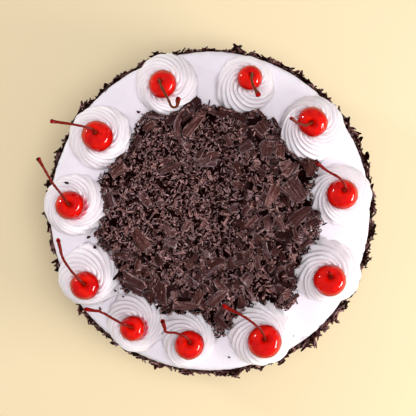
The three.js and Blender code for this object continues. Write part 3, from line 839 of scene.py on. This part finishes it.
bedLook = {
    "cell": 0.4 * mm, "seed": 41, "half": 88, "strewn": 84, "rise": 5.0, "rim": 0.5, "slope": 20,
    "inset": 2.2, "ragged": 1.3, "lumps": 1.3, "lumpSize": 7.0, "crumbSize": 1.2, "crumbRise": 0.8,
    "columns": 300, "rings": 90, "pitSize": 5.5, "pitLevel": -0.32, "pitShare": 0.7, "hollowShare": 0.92,
    "rimShade": 0.15, "shadeReach": 7, "fineSide": (17, -25),
    "splinterLength": (1.8, 5.0, 2.6), "splinterWidth": (0.45, 1.0), "splinterThick": (0.5, 1.0),
    "flakeLength": (4.0, 8.5), "flakeWidth": (0.28, 0.55), "flakeThick": 0.6, "flakeTones": (-0.3, 1.2, 0.42),
    "chipLength": (2.2, 6.2), "chipWidth": (0.24, 0.52), "stripLength": (4.5, 9), "stripWidth": (1.2, 2.3),
    "stripTurn": 95, "crumbLength": (0.6, 1.5, 1.3), "crumbWidth": (0.45, 0.8), "crumbThick": (0.4, 0.7),
    "under": 2600, "over": 1500, "crumbs": 2600, "chips": 4900, "flakes": 420, "strips": 420,
    "edgeSplinters": 900, "last": 350, "fineLast": 2600, "specks": 450,
    "medium": 260, "mediumKinds": 10, "mediumSize": (11, 2.8, 0.9), "mediumRolls": (0, 45, 0, 70),
    "mediumTones": (-0.1, 0.85, 0.35), "bigThick": 1.1,
    # hollows between the shavings, where few shavings lie and those that do are painted black as shade: place
    # and radius
    "hollows": [
        (-17.4, 54, 4.5), (-15, 60, 3), (51.6, 36.2, 4.5), (60, 21.4, 4.5), (66, 10, 3.5), (-44, -50, 4),
        (-13, -64, 5), (64, 3, 3), (55, 30, 3), (-30, 66, 2.5), (2, 60, 3), (38, -57, 3), (-62, -8, 3),
        (-20, 47, 2.5), (-8.5, -31, 2.6), (-18, -11.5, 1.8), (-42, -28, 2.2), (-49, -35, 1.8),
        (-2, -55, 2.5), (2, -70, 3.5), (32, -61, 2.2), (17, -61.5, 2.5), (10, -28, 2), (24, -22, 2),
        (-28, -36, 2.2), (40, -40, 2.2),
    ],
}
# the outline of the bed: bearing and reach
bedOutline = [
    (-177, 69), (-172, 73.5), (-164, 74.3), (-156, 71), (-146, 73), (-140, 75.5), (-136, 75), (-130, 69.7),
    (-124, 71), (-115, 73), (-108, 70), (-103, 67.2), (-94, 68), (-90, 74), (-87, 80.5), (-84, 81),
    (-79, 77), (-75, 71.7), (-68, 69.5), (-58, 70.3), (-54, 79), (-48, 80), (-42, 74), (-34, 69.4),
    (-30, 67.2), (-19, 70), (-13, 71.2), (-5, 71.2), (3, 67.5), (8, 68.5), (15, 70), (21, 75), (27, 76),
    (30, 69), (34, 66), (41, 64.5), (46, 66), (51, 70), (58, 69.5), (66, 73), (70, 69), (73, 67),
    (85, 67.4), (96, 66.5), (100, 70), (104, 71), (110, 69.3), (119, 74.5), (125, 75.5), (134, 70.7),
    (142, 67), (148, 70.7), (153, 73), (157, 70), (162, 74.5), (170, 71.2), (177, 70.5), (183, 69),
]
# the big shavings: place, length and width, turn, bow, roll in degrees, tone
bigShavings = [
    (-9.7, 69.2, 10, 6, 25, 0.8, 0, 0), (-17, 64, 27, 5.8, 39, 1.5, 0, 0.05),
    (-21, 51, 11, 5.2, 82, 0.5, 150, 0.5), (-15, 61, 12, 4.5, 40, 0.5, 0, 0.1),
    (-9, 57, 23, 5.8, 55, 1.2, 40, 0.75), (-15, 42, 6, 3.9, -30, 0.3, 0, 0.6),
    (-36, 61, 13, 5.2, -10, 0.6, 0, 0.5), (9, 64, 10, 5.8, -15, 1.2, 90, 0.25),
    (27, 62, 8, 5.2, 80, 0.8, 40, 0.45), (34, 59, 16, 2.3, -60, 0.5, 60, 0.2),
    (33, 53, 10, 7.7, -50, 0.8, 0, 0.55), (42, 57, 8, 2.3, -64, 0.5, 60, 0.1),
    (45, 52, 6, 1.9, 85, 0.4, 0, 0.15), (23, 41, 10, 5.8, 30, 0.6, 0, 0.55),
    (38, 47, 6, 1.9, 3, 0.3, 60, 0.8), (36, 40, 11, 7.7, 80, 1.0, 70, 0.55),
    (44, 39, 13, 5.2, 85, 0.8, 60, 0.6), (49, 28, 12, 8.4, 38, 0.8, 0, 0.85),
    (54, 13, 16, 11.6, -50, 0.8, 25, 0.6), (39, 10, 16, 6.5, 58, 0.9, 60, 0.75),
    (65, 28, 14, 9.0, 80, 2.0, 110, 0.4), (58, -3, 18, 5.8, 40, 1.5, 40, 0.3),
    (66, -8, 10, 5.8, 30, 0.8, 0, 0.15), (-58, 27, 14, 7.7, 38, 0.8, 25, 0.8),
    (-59, 34, 11, 7.1, 20, 0.8, 0, 0.35), (-41, 7, 10, 5.2, -55, 0.5, 0, 0.6),
    (-44, -18, 16, 8.4, -52, 0.6, 40, 0.55), (-26, -12, 14, 4.5, -35, 0.5, 20, 0.6),
    (-25, -20, 9, 4.5, -20, 0.6, 0, 0.85), (15, 1, 6, 5.8, 20, 0.4, 0, 0.55),
    (-3, 31, 15, 4.5, 3, 0.6, 50, 0.7), (-65, 7, 11, 8.4, -70, 0.8, 50, 0.5),
    (-48, -44, 19, 6.5, -30, 0.8, 0, 0.45), (-50, -48, 17, 3.9, -32, 0.5, 30, 0.2),
    (-31, -51, 14, 9.5, 80, 0.6, 0, 0.3), (-38, -55, 11, 8.4, 60, 0.4, 0, 0.42),
    (-46, -35, 9, 3.2, 88, 0.5, 60, 0.7), (-54, -36, 8, 2.3, 32, 0.3, 60, 0.6),
    (-15, -60, 18, 4.5, 0, 1.0, 120, 0.6), (-7, -55, 10, 4.5, 70, 0.6, 30, 0.6),
    (5, -55, 17, 5.2, 48, 1.0, 150, 0.65), (23, -43, 8, 5.8, 50, 0.8, 60, 0.7),
    (31, -33, 9, 3.2, -75, 0.5, 80, 0.75), (36, -30, 8, 1.9, -65, 0.5, 60, 0.65),
    (45, -56, 6, 2.6, 85, 0.4, 60, 0.6), (52, -59, 10, 2.9, 50, 0.4, 60, 0.6),
    (48, -53, 8, 4.5, 20, 0.5, 0, 0.35), (55, -55, 6, 1.9, 35, 0.3, 0, 0.1),
    (-29, -62, 8, 2.3, 40, 0.4, 0, 0.15), (-71, -14, 9, 2.6, 20, 0.4, 60, 0.1),
    (52, 38, 6, 3.9, 10, 0.5, 0, 0.2), (1, 64, 6, 3.2, -20, 0.5, 60, 0.4),
    (-32, 4, 8, 2.6, -50, 0.4, 60, 0.6), (-39, -25, 6, 3.2, 80, 0.5, 0, 0.7),
    (-25, 28.6, 17, 2.6, 24, 0.6, 60, 0.55), (-27.6, 32, 10, 3.6, 39, 0.5, 30, 0.55),
    (-3, 35, 12, 4, 12, 0.6, 0, 0.35), (-15, -9.5, 8, 5, 60, 0.5, 0, 0.75),
    (-6.5, 36, 11, 3.4, 58, 0.6, 40, 0.45), (1.5, 35.5, 9, 5, 20, 0.5, 0, 0.4),
    (-39, 55, 9, 5, 35, 0.5, 0, 0.5), (-47, 45, 8, 3, 70, 0.4, 40, 0.35),
    (12, 46, 10, 3, -70, 0.5, 50, 0.5), (20, 52, 9, 2.6, 60, 0.5, 60, 0.45),
]
# and a long one that is bent round a hollow, with how far it is bent in degrees
curledShaving = (-21, 55, 27, 2.4, -98, 0.8, 60, 0.6, 75)


def traceBed():  # reach of the bed for every half degree, and whether a rosette or the cream is beyond it
    bearings, reaches = zip(*bedOutline)
    traced, free = [], []
    for step in range(720):
        bearing = step / 2 if step <= 360 else step / 2 - 360
        reach = numpy.interp(bearing, bearings, reaches) + bedLook["ragged"] * noise.noise(polar(13, bearing))
        onCream = True
        for topping in toppings:
            off = math.radians(bearing - topping["bearing"])
            across = topping["reach"] * math.sin(off)
            keepOut = topping["radius"] + 0.1
            if math.cos(off) > 0 and abs(across) < keepOut:
                entry = topping["reach"] * math.cos(off) - math.sqrt(keepOut ** 2 - across ** 2)
                if entry < reach:
                    reach, onCream = entry, False
        traced.append(reach)
        free.append(1.0 if onCream else 0.0)
    return numpy.array(traced + traced[:1]), numpy.array(free + free[:1])


bedReaches, bedFree = traceBed()
halfDegrees = numpy.arange(721) / 2


def bedReach(bearing):
    return numpy.interp(numpy.mod(bearing, 360), halfDegrees, bedReaches)


def coreReach(bearing):  # bearing from 0 to 360; the core stays back where the bed's edge is free
    return bedReach(bearing) - bedLook["inset"] * numpy.interp(bearing, halfDegrees, bedFree)


def bedCoreHeights(x, y):  # the smooth form of the core: low at the edge, steep, then almost flat
    look = bedLook
    inward = coreReach(numpy.mod(numpy.degrees(numpy.arctan2(y, x)), 360)) - numpy.hypot(x, y) / mm
    share = numpy.clip(1 - inward / look["slope"], 0, 1)
    rise = look["rim"] + (look["rise"] - look["rim"]) * (1 - share ** 2.4)
    return creamTop + numpy.where(inward > 0, rise, 0) * mm


def bedLump(x, y):  # the uneven form of the pile, in mm
    size = bedLook["lumpSize"] * mm
    fine = noise.noise(Vector((y, x, size)) / size * 2.3)
    return bedLook["lumps"] * (noise.noise(Vector((x, y, 0)) / size) + 0.5 * fine)


def bedCore():
    print("core of the bed")
    look = bedLook
    piece = start(bpy.ops.mesh.primitive_circle_add, vertices=look["columns"], radius=1, fill_type="NOTHING")
    for ring in range(look["rings"] - 1):
        share = (look["rings"] - ring - 1) / (look["rings"] - ring)
        bpy.ops.mesh.extrude_edges_move(TRANSFORM_OT_translate={"value": (0, 0, 0)})
        bpy.ops.transform.resize(value=(share, share, 1), center_override=(0, 0, 0))
    bpy.ops.mesh.merge(type="CENTER")
    bpy.ops.object.mode_set(mode="OBJECT")
    tones = []
    for vert in piece.data.vertices:
        reach = coreReach(math.degrees(math.atan2(vert.co.y, vert.co.x)) % 360) * mm
        share = vert.co.to_2d().length
        x, y = vert.co.x * reach, vert.co.y * reach
        crumb = noise.noise(Vector((x, y, 0)) / (look["crumbSize"] * mm))
        inner = 1 - share ** 8
        rise = inner * (bedLump(x, y) + look["crumbRise"] * crumb - look["crumbRise"]) * mm
        sunk = 0 if share < 0.999 else 1 * mm
        vert.co = (x, y, float(bedCoreHeights(0.998 * x, 0.998 * y)) + rise - sunk)
        # the core is dark crumbs, made darker as painted shade under the shavings, and black at its rim
        tones.append(max(0, (0.08 + 0.25 * crumb) * inner))
    finishCore(piece, "shavingsCore", tones, "crumbedChocolate", "chocolate_shavings")


def strewBed():
    look = bedLook
    draw = random.Random(look["seed"])
    half = look["half"] * mm
    pile = newPile((-half, -half), (half, half), look["cell"], bedCoreHeights)
    across = -half + look["cell"] * numpy.arange(pile["grid"].shape[1])
    inside = pile["grid"] > creamTop + 0.1 * mm
    lumps = numpy.array([[bedLump(x, y) if inside[row, column] else 0 for column, x in enumerate(across)]
                         for row, y in enumerate(across)])
    pile["grid"] += lumps * mm * numpy.clip((pile["grid"] - creamTop) / (2 * mm), 0, 1)
    splinters = ([cutSplinter(seed) for seed in range(9)], [])
    flakes = ([cutFlake(seed) for seed in range(9)], [])
    crumbs = ([cutCrumb(seed) for seed in range(6)], [])
    shards = ([], [])

    def spot(margin, back=look["strewn"]):  # anywhere on the bed, or only in front of that line
        while True:
            x, y = draw.uniform(-look["strewn"], look["strewn"]), draw.uniform(-look["strewn"], back)
            inward = bedReach(math.degrees(math.atan2(y, x))) - math.hypot(x, y)
            if inward > margin:
                return (x * mm, y * mm), inward

    def inHollow(place):
        return any(math.hypot(place[0] - x * mm, place[1] - y * mm) < radius * mm
                   for x, y, radius in look["hollows"])

    def inPit(place):
        if inHollow(place):
            return draw.random() < look["hollowShare"]
        value = noise.noise(Vector((*place, 0.03)) / (look["pitSize"] * mm))
        return value < look["pitLevel"] and draw.random() < look["pitShare"]

    def onFineSide(place):  # towards the back left the shavings are finer
        return place[0] < look["fineSide"][0] * mm and place[1] > look["fineSide"][1] * mm

    def tiltBy(along, aside):
        return draw.gauss(0, along), draw.gauss(0, aside)

    # lays one of the heap's masters; the rim of the bed is thin and its tones are darkened as painted shade
    # of the rosettes, and shavings in the hollows are painted black as shade
    def lay(heap, place, inward, size, tilt, settle, drawTone, turn=None, unit=(1, 1, 1)):
        masters, places = heap
        if turn is None:
            turn = draw.uniform(*anyTurn)
        basis, middle = layFlake(pile, place, turn, size, tilt, settle)
        master = draw.randrange(len(masters))
        tone = drawTone()
        if inward is not None:
            shade = min(1, look["rimShade"] + inward / look["shadeReach"])
            tone = 0.0 if inHollow(place) else max(0, tone) * shade
        places.append((master, basis / numpy.array(unit), middle, tone))

    def addSplinters(count, tones, settle=0.65, lean=0.35, fine=False):
        for index in range(count):
            place, inward = spot(0.5)
            if fine and (inHollow(place) or not onFineSide(place)):
                continue
            size = (draw.triangular(*look["splinterLength"]) * mm, draw.uniform(*look["splinterWidth"]) * mm,
                    draw.uniform(*look["splinterThick"]) * mm)
            lay(splinters, place, inward, size, tiltBy(lean, lean), settle, lambda: draw.uniform(*tones))

    def addFlakes(count, lengths, widths, lean=0.28, margin=2.2, pits=True, **where):
        for index in range(count):
            place, inward = spot(margin, **where)
            if pits and inPit(place):
                continue
            length = draw.triangular(*lengths, lengths[0] + 0.25 * (lengths[1] - lengths[0]))
            if pits and onFineSide(place):
                length *= 0.75
            width = length * draw.uniform(*widths) if pits else draw.uniform(*widths)
            turn = draw.uniform(*anyTurn) if pits else draw.gauss(math.radians(look["stripTurn"]), 0.7)
            lay(flakes, place, inward, (length * mm, width * mm, look["flakeThick"] * mm),
                tiltBy(lean, lean), 0.78, lambda: draw.triangular(*look["flakeTones"]), turn)

    def addCrumbs(count, tones):
        for index in range(count):
            place, inward = spot(0.2)
            if inPit(place):
                continue
            length = draw.triangular(*look["crumbLength"]) * mm
            size = [length * share for share in (
                1, draw.uniform(*look["crumbWidth"]), draw.uniform(*look["crumbThick"]))]
            lay(crumbs, place, inward, size, tiltBy(0.4, 0.4), 0.7,
                lambda: draw.triangular(*tones, tones[0] + 0.3))

    print("shavings on the bed")
    # the first layer is nearly black: painted shade in the gaps between the shavings
    addSplinters(look["under"], (-0.1, 0.12))
    addCrumbs(look["crumbs"], (-0.4, 0.65))
    addSplinters(look["over"], (-0.4, 0.7))
    addFlakes(look["chips"], look["chipLength"], look["chipWidth"], lean=0.36, margin=0.8)
    addFlakes(look["flakes"], look["flakeLength"], look["flakeWidth"])
    addFlakes(look["strips"], look["stripLength"], look["stripWidth"], lean=0.35, pits=False, back=0)
    addSplinters(look["fineLast"], (-0.25, 0.95), fine=True, lean=0.4, settle=0.75)

    print("big shavings")
    wedge = Vector(look["mediumSize"]) * mm
    rolls = look["mediumRolls"]
    masters, places = shards
    for kind in range(look["mediumKinds"]):
        masters.append(cutShard(400 + kind, wedge, 0.9 * mm, 70, rolls[kind % len(rolls)]))
    for index in range(look["medium"]):
        place, inward = spot(3)
        if inHollow(place) or onFineSide(place):
            continue
        size = wedge * Vector((draw.uniform(0.5, 1.15), draw.uniform(0.55, 1.4), 1))
        lay(shards, place, inward, size, tiltBy(0.22, 0.3), 0.85,
            lambda: draw.triangular(*look["mediumTones"]), unit=wedge)
    rows = [(*row, 0) for row in bigShavings] + [curledShaving]
    for index, (x, y, length, width, turn, bow, roll, tone, bend) in enumerate(rows):
        size = (length * mm, width * mm, look["bigThick"] * mm)
        masters.append(cutShard(200 + index, size, bow * mm, roll, bend))
        basis, middle = layFlake(pile, (x * mm, y * mm), math.radians(turn), size, tiltBy(0.12, 0.2), 0.94)
        places.append((look["mediumKinds"] + index, basis / numpy.array(size), middle, 0.25 + 0.5 * tone))

    # loose bits on top, and along the edge, where they are kept dark as painted shade at the bed's foot
    addSplinters(look["last"], (0.2, 1), settle=0.8)
    addCrumbs(look["specks"], (0, 1))
    for index in range(look["edgeSplinters"]):
        bearing = draw.uniform(0, 360)
        out = draw.triangular(-2.5, 1.6, -0.8) if bedFree[int(bearing * 2)] else -0.8
        place = polar((bedReach(bearing) + out) * mm, bearing)
        size = (draw.uniform(1.6, 4.6) * mm, draw.uniform(0.6, 1.3) * mm, draw.uniform(0.5, 0.9) * mm)
        lay(splinters, place, None, size, tiltBy(0.2, 0.2), 0.7, lambda: draw.uniform(0, 0.4))

    for name, heap, finish in (
            ("fineShavings", splinters, (2.0, 0.9, 0.22)), ("chocolateCrumbs", crumbs, (2.0, 0.9, 0.22)),
            ("chocolateFlakes", flakes, (1.5, 0.9, 0.22, True, 0.03))):
        scatter(name, heap, chocolateMaterial(name + "Chocolate", *finish), "chocolate_shavings")
    material = chocolateMaterial(
        "largeShardsChocolate", 0.9, 0.9, 0.4, True, 0.1, scratch=(0.6, 1.2), hue=(0.98, 1.22, 1.28, 1))
    scatter("largeShards", shards, material, "chocolate_shavings", (8, 1.2))
    return pile


# the coat on the side, sizes in mm

coatLook = {
    "cell": 0.7 * mm, "seed": 77, "low": 0.2, "high": 70, "count": 5400, "rimCount": 620,
    "length": (2.5, 9.0, 4), "width": (0.3, 0.6), "flakeThick": 0.8, "tones": (-0.1, 0.95, 0.25),
    "columns": 420, "rows": 46, "lump": 1.2, "lumpSize": 8, "crumbSize": 1.6,
}
# how thick the coat is, by bearing
coatThickness = [
    (0, 2.8), (40, 2.9), (70, 2.4), (100, 1.8), (150, 1.4), (200, 1.4), (240, 1.8), (280, 2.6), (310, 3.4),
    (335, 3.2), (360, 2.8),
]
# where more flakes stand off the top edge: bearing, how wide in degrees, count
coatClumps = [
    (81, 2, 7), (97, 4, 4), (110, 3, 6), (123, 5, 5), (142, 4, 8), (158, 5, 5), (176, 6, 4), (200, 7, 5),
    (222, 6, 7), (240, 5, 5), (251, 3, 5), (262, 4, 6), (277, 4, 7), (295, 5, 14), (307, 5, 16),
    (320, 5, 12), (333, 4, 7), (343.5, 3, 12), (352, 4, 5), (5, 5, 6), (17, 4, 6), (30, 3, 7), (43, 3, 7),
    (55, 4, 5), (68, 4, 5),
]


def coatDepth(bearing, z):  # mm over the cream, lower at the top and at the foot
    look = coatLook
    thick = numpy.interp(numpy.mod(bearing, 360), *zip(*coatThickness))
    share = (z / mm - look["low"]) / (look["high"] - look["low"])
    edge = numpy.minimum(1, numpy.minimum(14 * (1 - share), 30 * share + 0.4))
    return thick * numpy.clip(edge, 0, 1)


def coatCore():
    print("core of the coat")
    look = coatLook
    low = look["low"] * mm
    piece = start(bpy.ops.mesh.primitive_circle_add, vertices=look["columns"], radius=cakeRadius,
                  location=(0, 0, low))
    step = (look["high"] - look["low"]) * mm / look["rows"]
    for row in range(look["rows"]):
        bpy.ops.mesh.extrude_edges_move(TRANSFORM_OT_translate={"value": (0, 0, step)})
    bpy.ops.object.mode_set(mode="OBJECT")
    tones = []
    for vert in piece.data.vertices:
        place = vert.co.copy()
        lump = noise.noise(place / (look["lumpSize"] * mm))
        crumb = noise.noise(place / (look["crumbSize"] * mm))
        depth = float(coatDepth(math.degrees(math.atan2(place.y, place.x)), place.z))
        share = min(1, depth)
        out = (0.8 * depth + look["lump"] * lump * share + 0.6 * crumb * share - 0.7 * (1 - share)) * mm
        vert.co = place + Vector((place.x, place.y, 0)).normalized() * out
        vert.co.z = max(low, vert.co.z + 1.2 * mm * lump * place.z / cakeTop)
        # the core's tone is partly the crumbs' own dark colour and partly painted shade between the flakes
        tones.append(max(0, 0.2 + 0.35 * crumb))
    finishCore(piece, "coatCore", tones, "coatChocolate", "side_shavings")


def coatSide():
    print("flakes on the side")
    look = coatLook
    draw = random.Random(look["seed"])
    around = 2 * math.pi * cakeRadius
    thick = look["flakeThick"] * mm
    pile = newPile((0, 0), (around, cakeTop), look["cell"],
                   lambda x, z: coatDepth(numpy.degrees(x / cakeRadius), z) * 0.7 * mm, wraps=True)
    flakes = [cutFlake(20 + seed, 6) for seed in range(9)]
    places = []

    def stick(x, z, turn, size, tilt, settle, tone):
        foot = (size[0] * abs(math.sin(turn)) + size[1] * abs(math.cos(turn))) * 0.55 + 0.25 * mm
        basis, middle = layFlake(pile, (x, max(z, foot)), turn, size, tilt, settle)
        angle = middle[0] / cakeRadius
        outward = numpy.array((math.cos(angle), math.sin(angle), 0))
        tangent = numpy.array((-math.sin(angle), math.cos(angle), 0))
        wall = numpy.array((tangent, (0, 0, 1), outward)).T
        spot = outward * (cakeRadius + middle[2]) + numpy.array((0, 0, middle[1]))
        # painted light and shade: flakes are lighter towards bearing -60 degrees, the lamp's side, and darker
        # on the far side
        lit = 0.8 + 0.2 * math.cos(angle + math.pi / 3)
        places.append((draw.randrange(len(flakes)), wall @ basis, spot, max(0, tone) * lit))

    for index in range(look["count"]):
        length = draw.triangular(*look["length"]) * mm
        size = (length, length * draw.uniform(*look["width"]), thick)
        tilt = (draw.gauss(0, 0.32), draw.gauss(0, 0.32))
        z = draw.uniform(look["low"], look["high"] - 1) * mm
        stick(draw.uniform(0, around), z, draw.uniform(*anyTurn), size, tilt, 0.45,
              draw.triangular(*look["tones"]))
    for index in range(look["rimCount"]):  # flakes that stand off the top edge
        size = (draw.uniform(4, 10) * mm, draw.uniform(1.2, 3.2) * mm, thick)
        turn = math.radians(90) + draw.gauss(0, 0.8)
        tilt = (draw.uniform(-0.1, 0.6), draw.gauss(0, 0.3))
        z = draw.triangular(56, 71.5, 70) * mm
        stick(draw.uniform(0, around), z, turn, size, tilt, 0.4, draw.triangular(-0.1, 0.6, 0.05))
    for bearing, wide, count in coatClumps:
        for index in range(count):
            size = (draw.uniform(5, 11) * mm, draw.uniform(2, 4) * mm, thick)
            tilt = (draw.uniform(0.1, 0.9), draw.gauss(0.2, 0.5))
            x = math.radians(draw.gauss(bearing, wide / 2)) * cakeRadius
            z = draw.uniform(67, 71.5) * mm
            turn = math.radians(draw.choice((15, 90, 160))) + draw.gauss(0, 0.35)
            stick(x, z, turn, size, tilt, 0.4, draw.triangular(-0.1, 0.75, 0.05))
    material = chocolateMaterial("coatFlakeChocolate", 1.4, 0.7, 0.2, True, 0.03)
    scatter("coatFlakes", (flakes, places), material, "side_shavings")


# stray bits on the cream, and specks of cream on the bed, in mm

strayLook = {"seed": 9, "longer": 1.25, "wider": 1.4, "thick": 0.8, "lift": 0.25}
strayChocolate = [  # place, length and width, turn
    (-46.9, 64.6, 2.6, 1.8, 0), (-51, 50.5, 1.3, 0.9, 20), (-49, 53.5, 1.8, 1.2, 60),
    (-48.6, 56.5, 1.2, 0.9, 0), (-74.3, -23.4, 2.8, 1.6, 110), (-61.9, -51.5, 2.3, 1.5, 140),
    (-54.8, -52.1, 2.2, 1.2, 30), (-56.1, -55.4, 2.4, 1.2, 0), (-60.6, -42.3, 7.4, 1.6, 45),
    (-34.2, -62.2, 2, 1.6, 80), (-32.2, -61.4, 1.8, 1.3, 10), (-29, -64, 5.5, 1.5, 45),
    (-30, -72, 1.6, 1.2, 80), (-3.9, 69.2, 2, 1, 20), (-0.7, 70.7, 4.2, 1, 78), (12.4, -95.8, 1.7, 1.3, 0),
    (54.1, -82.1, 1.6, 1, 60), (47.2, 45.1, 3, 1.2, 115), (-91.1, 17.9, 3, 1.8, -40),
    (-70.5, 12.5, 1.4, 1, 0), (69, 22.4, 1.2, 1, 0), (-17.7, 99.6, 1.2, 0.7, 70), (63, -84, 3.6, 1.5, 35),
    (-72, -64, 2.4, 1.2, 120), (70, -18, 1.5, 1, 30), (57, -60, 1.6, 1.1, 100), (-66, 24, 4.2, 1.2, 150),
    (-70, 17, 4.4, 1.1, 140), (-79.5, -17, 3, 1.3, 25), (75, -8.5, 3.2, 1.4, 20),
]
speckLook = {"lift": 0.2, "long": (0.9, 1.7), "wide": (0.6, 1), "flat": 0.5, "lumps": 0.9, "lumpSize": 0.8}
creamSpecks = [  # place and width
    (-46.4, 56.2, 1.3), (-47, 52, 1), (-53.5, 38.5, 1.3), (65.2, -12.2, 1.5), (50.6, 36.9, 1),
    (68.2, 24.8, 1.3), (53.5, -60.5, 1.6), (41.5, -61.5, 1.3), (-34, -59.5, 1.2), (-3, -72, 1.1),
    (64.5, 14, 0.9),
]


def restOn(pieces, x, y):  # height and slope of what carries a bit at that place
    highest, normal = None, None
    for piece in pieces:
        hit, place, away, index = piece.ray_cast(Vector((x, y, 0.3)), Vector((0, 0, -1)))
        if hit and (highest is None or place.z > highest):
            highest, normal = place.z, away
    return highest, normal


def strewStrays(carriers, pile):
    print("stray bits")
    look = strayLook
    draw = random.Random(look["seed"])
    flakes = [cutFlake(60 + seed, 6) for seed in range(5)]
    places = []
    for x, y, length, width, turn in strayChocolate:
        height, normal = restOn(carriers, x * mm, y * mm)
        height = max(height, pileHeight(pile, x * mm, y * mm))
        basis = upwards.rotation_difference(normal).to_matrix() @ Matrix.Rotation(math.radians(turn), 3, "Z")
        basis @= Matrix.Diagonal((look["longer"] * length, look["wider"] * width, look["thick"]))
        middle = Vector((x, y, height / mm + look["lift"])) * mm
        places.append((draw.randrange(len(flakes)), numpy.array(basis) * mm, numpy.array(middle),
                       draw.uniform(0, 0.3)))
    material = chocolateMaterial("strayChocolate", 1.0, 0.6, 0.2)
    scatter("strayFlakes", (flakes, places), material, "chocolate_shavings")

    look = speckLook
    specks = []
    for x, y, width in creamSpecks:
        height = max(restOn(carriers, x * mm, y * mm)[0], pileHeight(pile, x * mm, y * mm))
        height += look["lift"] * mm
        scale = (draw.uniform(*look["long"]), draw.uniform(*look["wide"]), look["flat"])
        specks.append(start(
            bpy.ops.mesh.primitive_uv_sphere_add, segments=14, ring_count=9, radius=width * mm / 2,
            scale=scale, location=(x * mm, y * mm, height), rotation=(0.4, 0.3, draw.uniform(0, 3))))
        bpy.ops.object.mode_set(mode="OBJECT")
    for speck in specks:
        speck.select_set(True)
    bpy.ops.object.join()
    piece = bpy.context.object
    roughen(piece, "speck", look["lumpSize"] * mm, look["lumps"] * mm)
    bpy.ops.object.shade_smooth()
    hand(piece, "creamSpecks", "cream", creamMaterial("creamSpeck", creamLook), "chocolate_shavings")


# floor, light and camera

studio = {
    "floor": 4, "floorColors": ((0.98, 0.82, 0.53, 1), (0.96, 0.78, 0.49, 1)), "floorPatch": 0.4,
    "patchEdge": 0.3, "floorRoughness": 0.85, "floorShine": 0.1, "lens": 74, "camera": (-1.3, 2.0, 635),
    "room": (0.97, 0.95, 1, 1), "roomLight": 0.25, "lit": (0, 0, 0.07),
}
# the lights: place, size, watts, colour, and whether they show in glossy things
softboxes = {
    "windowRight": ((0.85, -0.3, 0.32), (0.5, 0.15), 6.9, (1, 0.985, 0.965), True),
    "topFill": ((0.12, -0.02, 1.2), (0.6, 0.6), 8.3, (0.985, 0.98, 1), False),
    "leftFill": ((-0.9, 0.45, 0.24), (0.13, 0.09), 3.2, (0.97, 0.98, 1), True),
}


def layFloor():
    bpy.ops.mesh.primitive_plane_add(size=studio["floor"])
    floor = bpy.context.object
    floor.name = "floor"
    material, tree, surface = newMaterial(
        "paleFloor", {"Roughness": studio["floorRoughness"], "Specular IOR Level": studio["floorShine"]})
    color = mottled(tree, *studio["floorColors"], studio["floorPatch"], studio["patchEdge"])
    tree.links.new(color, surface["Base Color"])
    floor.data.materials.append(material)


def lightStudio():
    for name, (place, size, watts, color, glints) in softboxes.items():
        light = bpy.data.lights.new(name, "AREA")
        light.shape = "RECTANGLE"
        light.size, light.size_y = size
        light.energy = watts
        light.color = color
        box = bpy.data.objects.new(name, light)
        box.location = place
        box.rotation_euler = (Vector(place) - Vector(studio["lit"])).to_track_quat("Z", "Y").to_euler()
        box.visible_glossy = glints
        bpy.context.scene.collection.objects.link(box)
    world = bpy.data.worlds.new("softRoom")
    bpy.context.scene.world = world
    world.use_nodes = True
    background = world.node_tree.nodes["Background"]
    background.inputs[0].default_value = studio["room"]
    background.inputs[1].default_value = studio["roomLight"]
    bpy.context.scene.view_settings.view_transform = "Standard"


def setCamera():
    data = bpy.data.cameras.new("overhead")
    data.lens = studio["lens"]
    camera = bpy.data.objects.new("overhead", data)
    camera.location = [value * mm for value in studio["camera"]]
    bpy.context.scene.collection.objects.link(camera)
    bpy.context.scene.camera = camera


setCamera()
lightStudio()
layFloor()
carriers = [spreadCream()]
rosetteCream = creamMaterial("pipedCream", rosetteLook)
cherryRed = cherryMaterial()
stalk = stemMaterial()
print("rosettes, cherries and stems")
for number, topping in enumerate(toppings, start=1):
    carriers.append(pipeRosette(number, topping, rosetteCream))
    makeCherry(number, topping, cherryRed)
    growStem(number, topping, stalk)
bedCore()
bedPile = strewBed()
coatCore()
coatSide()
strewStrays(carriers, bedPile)
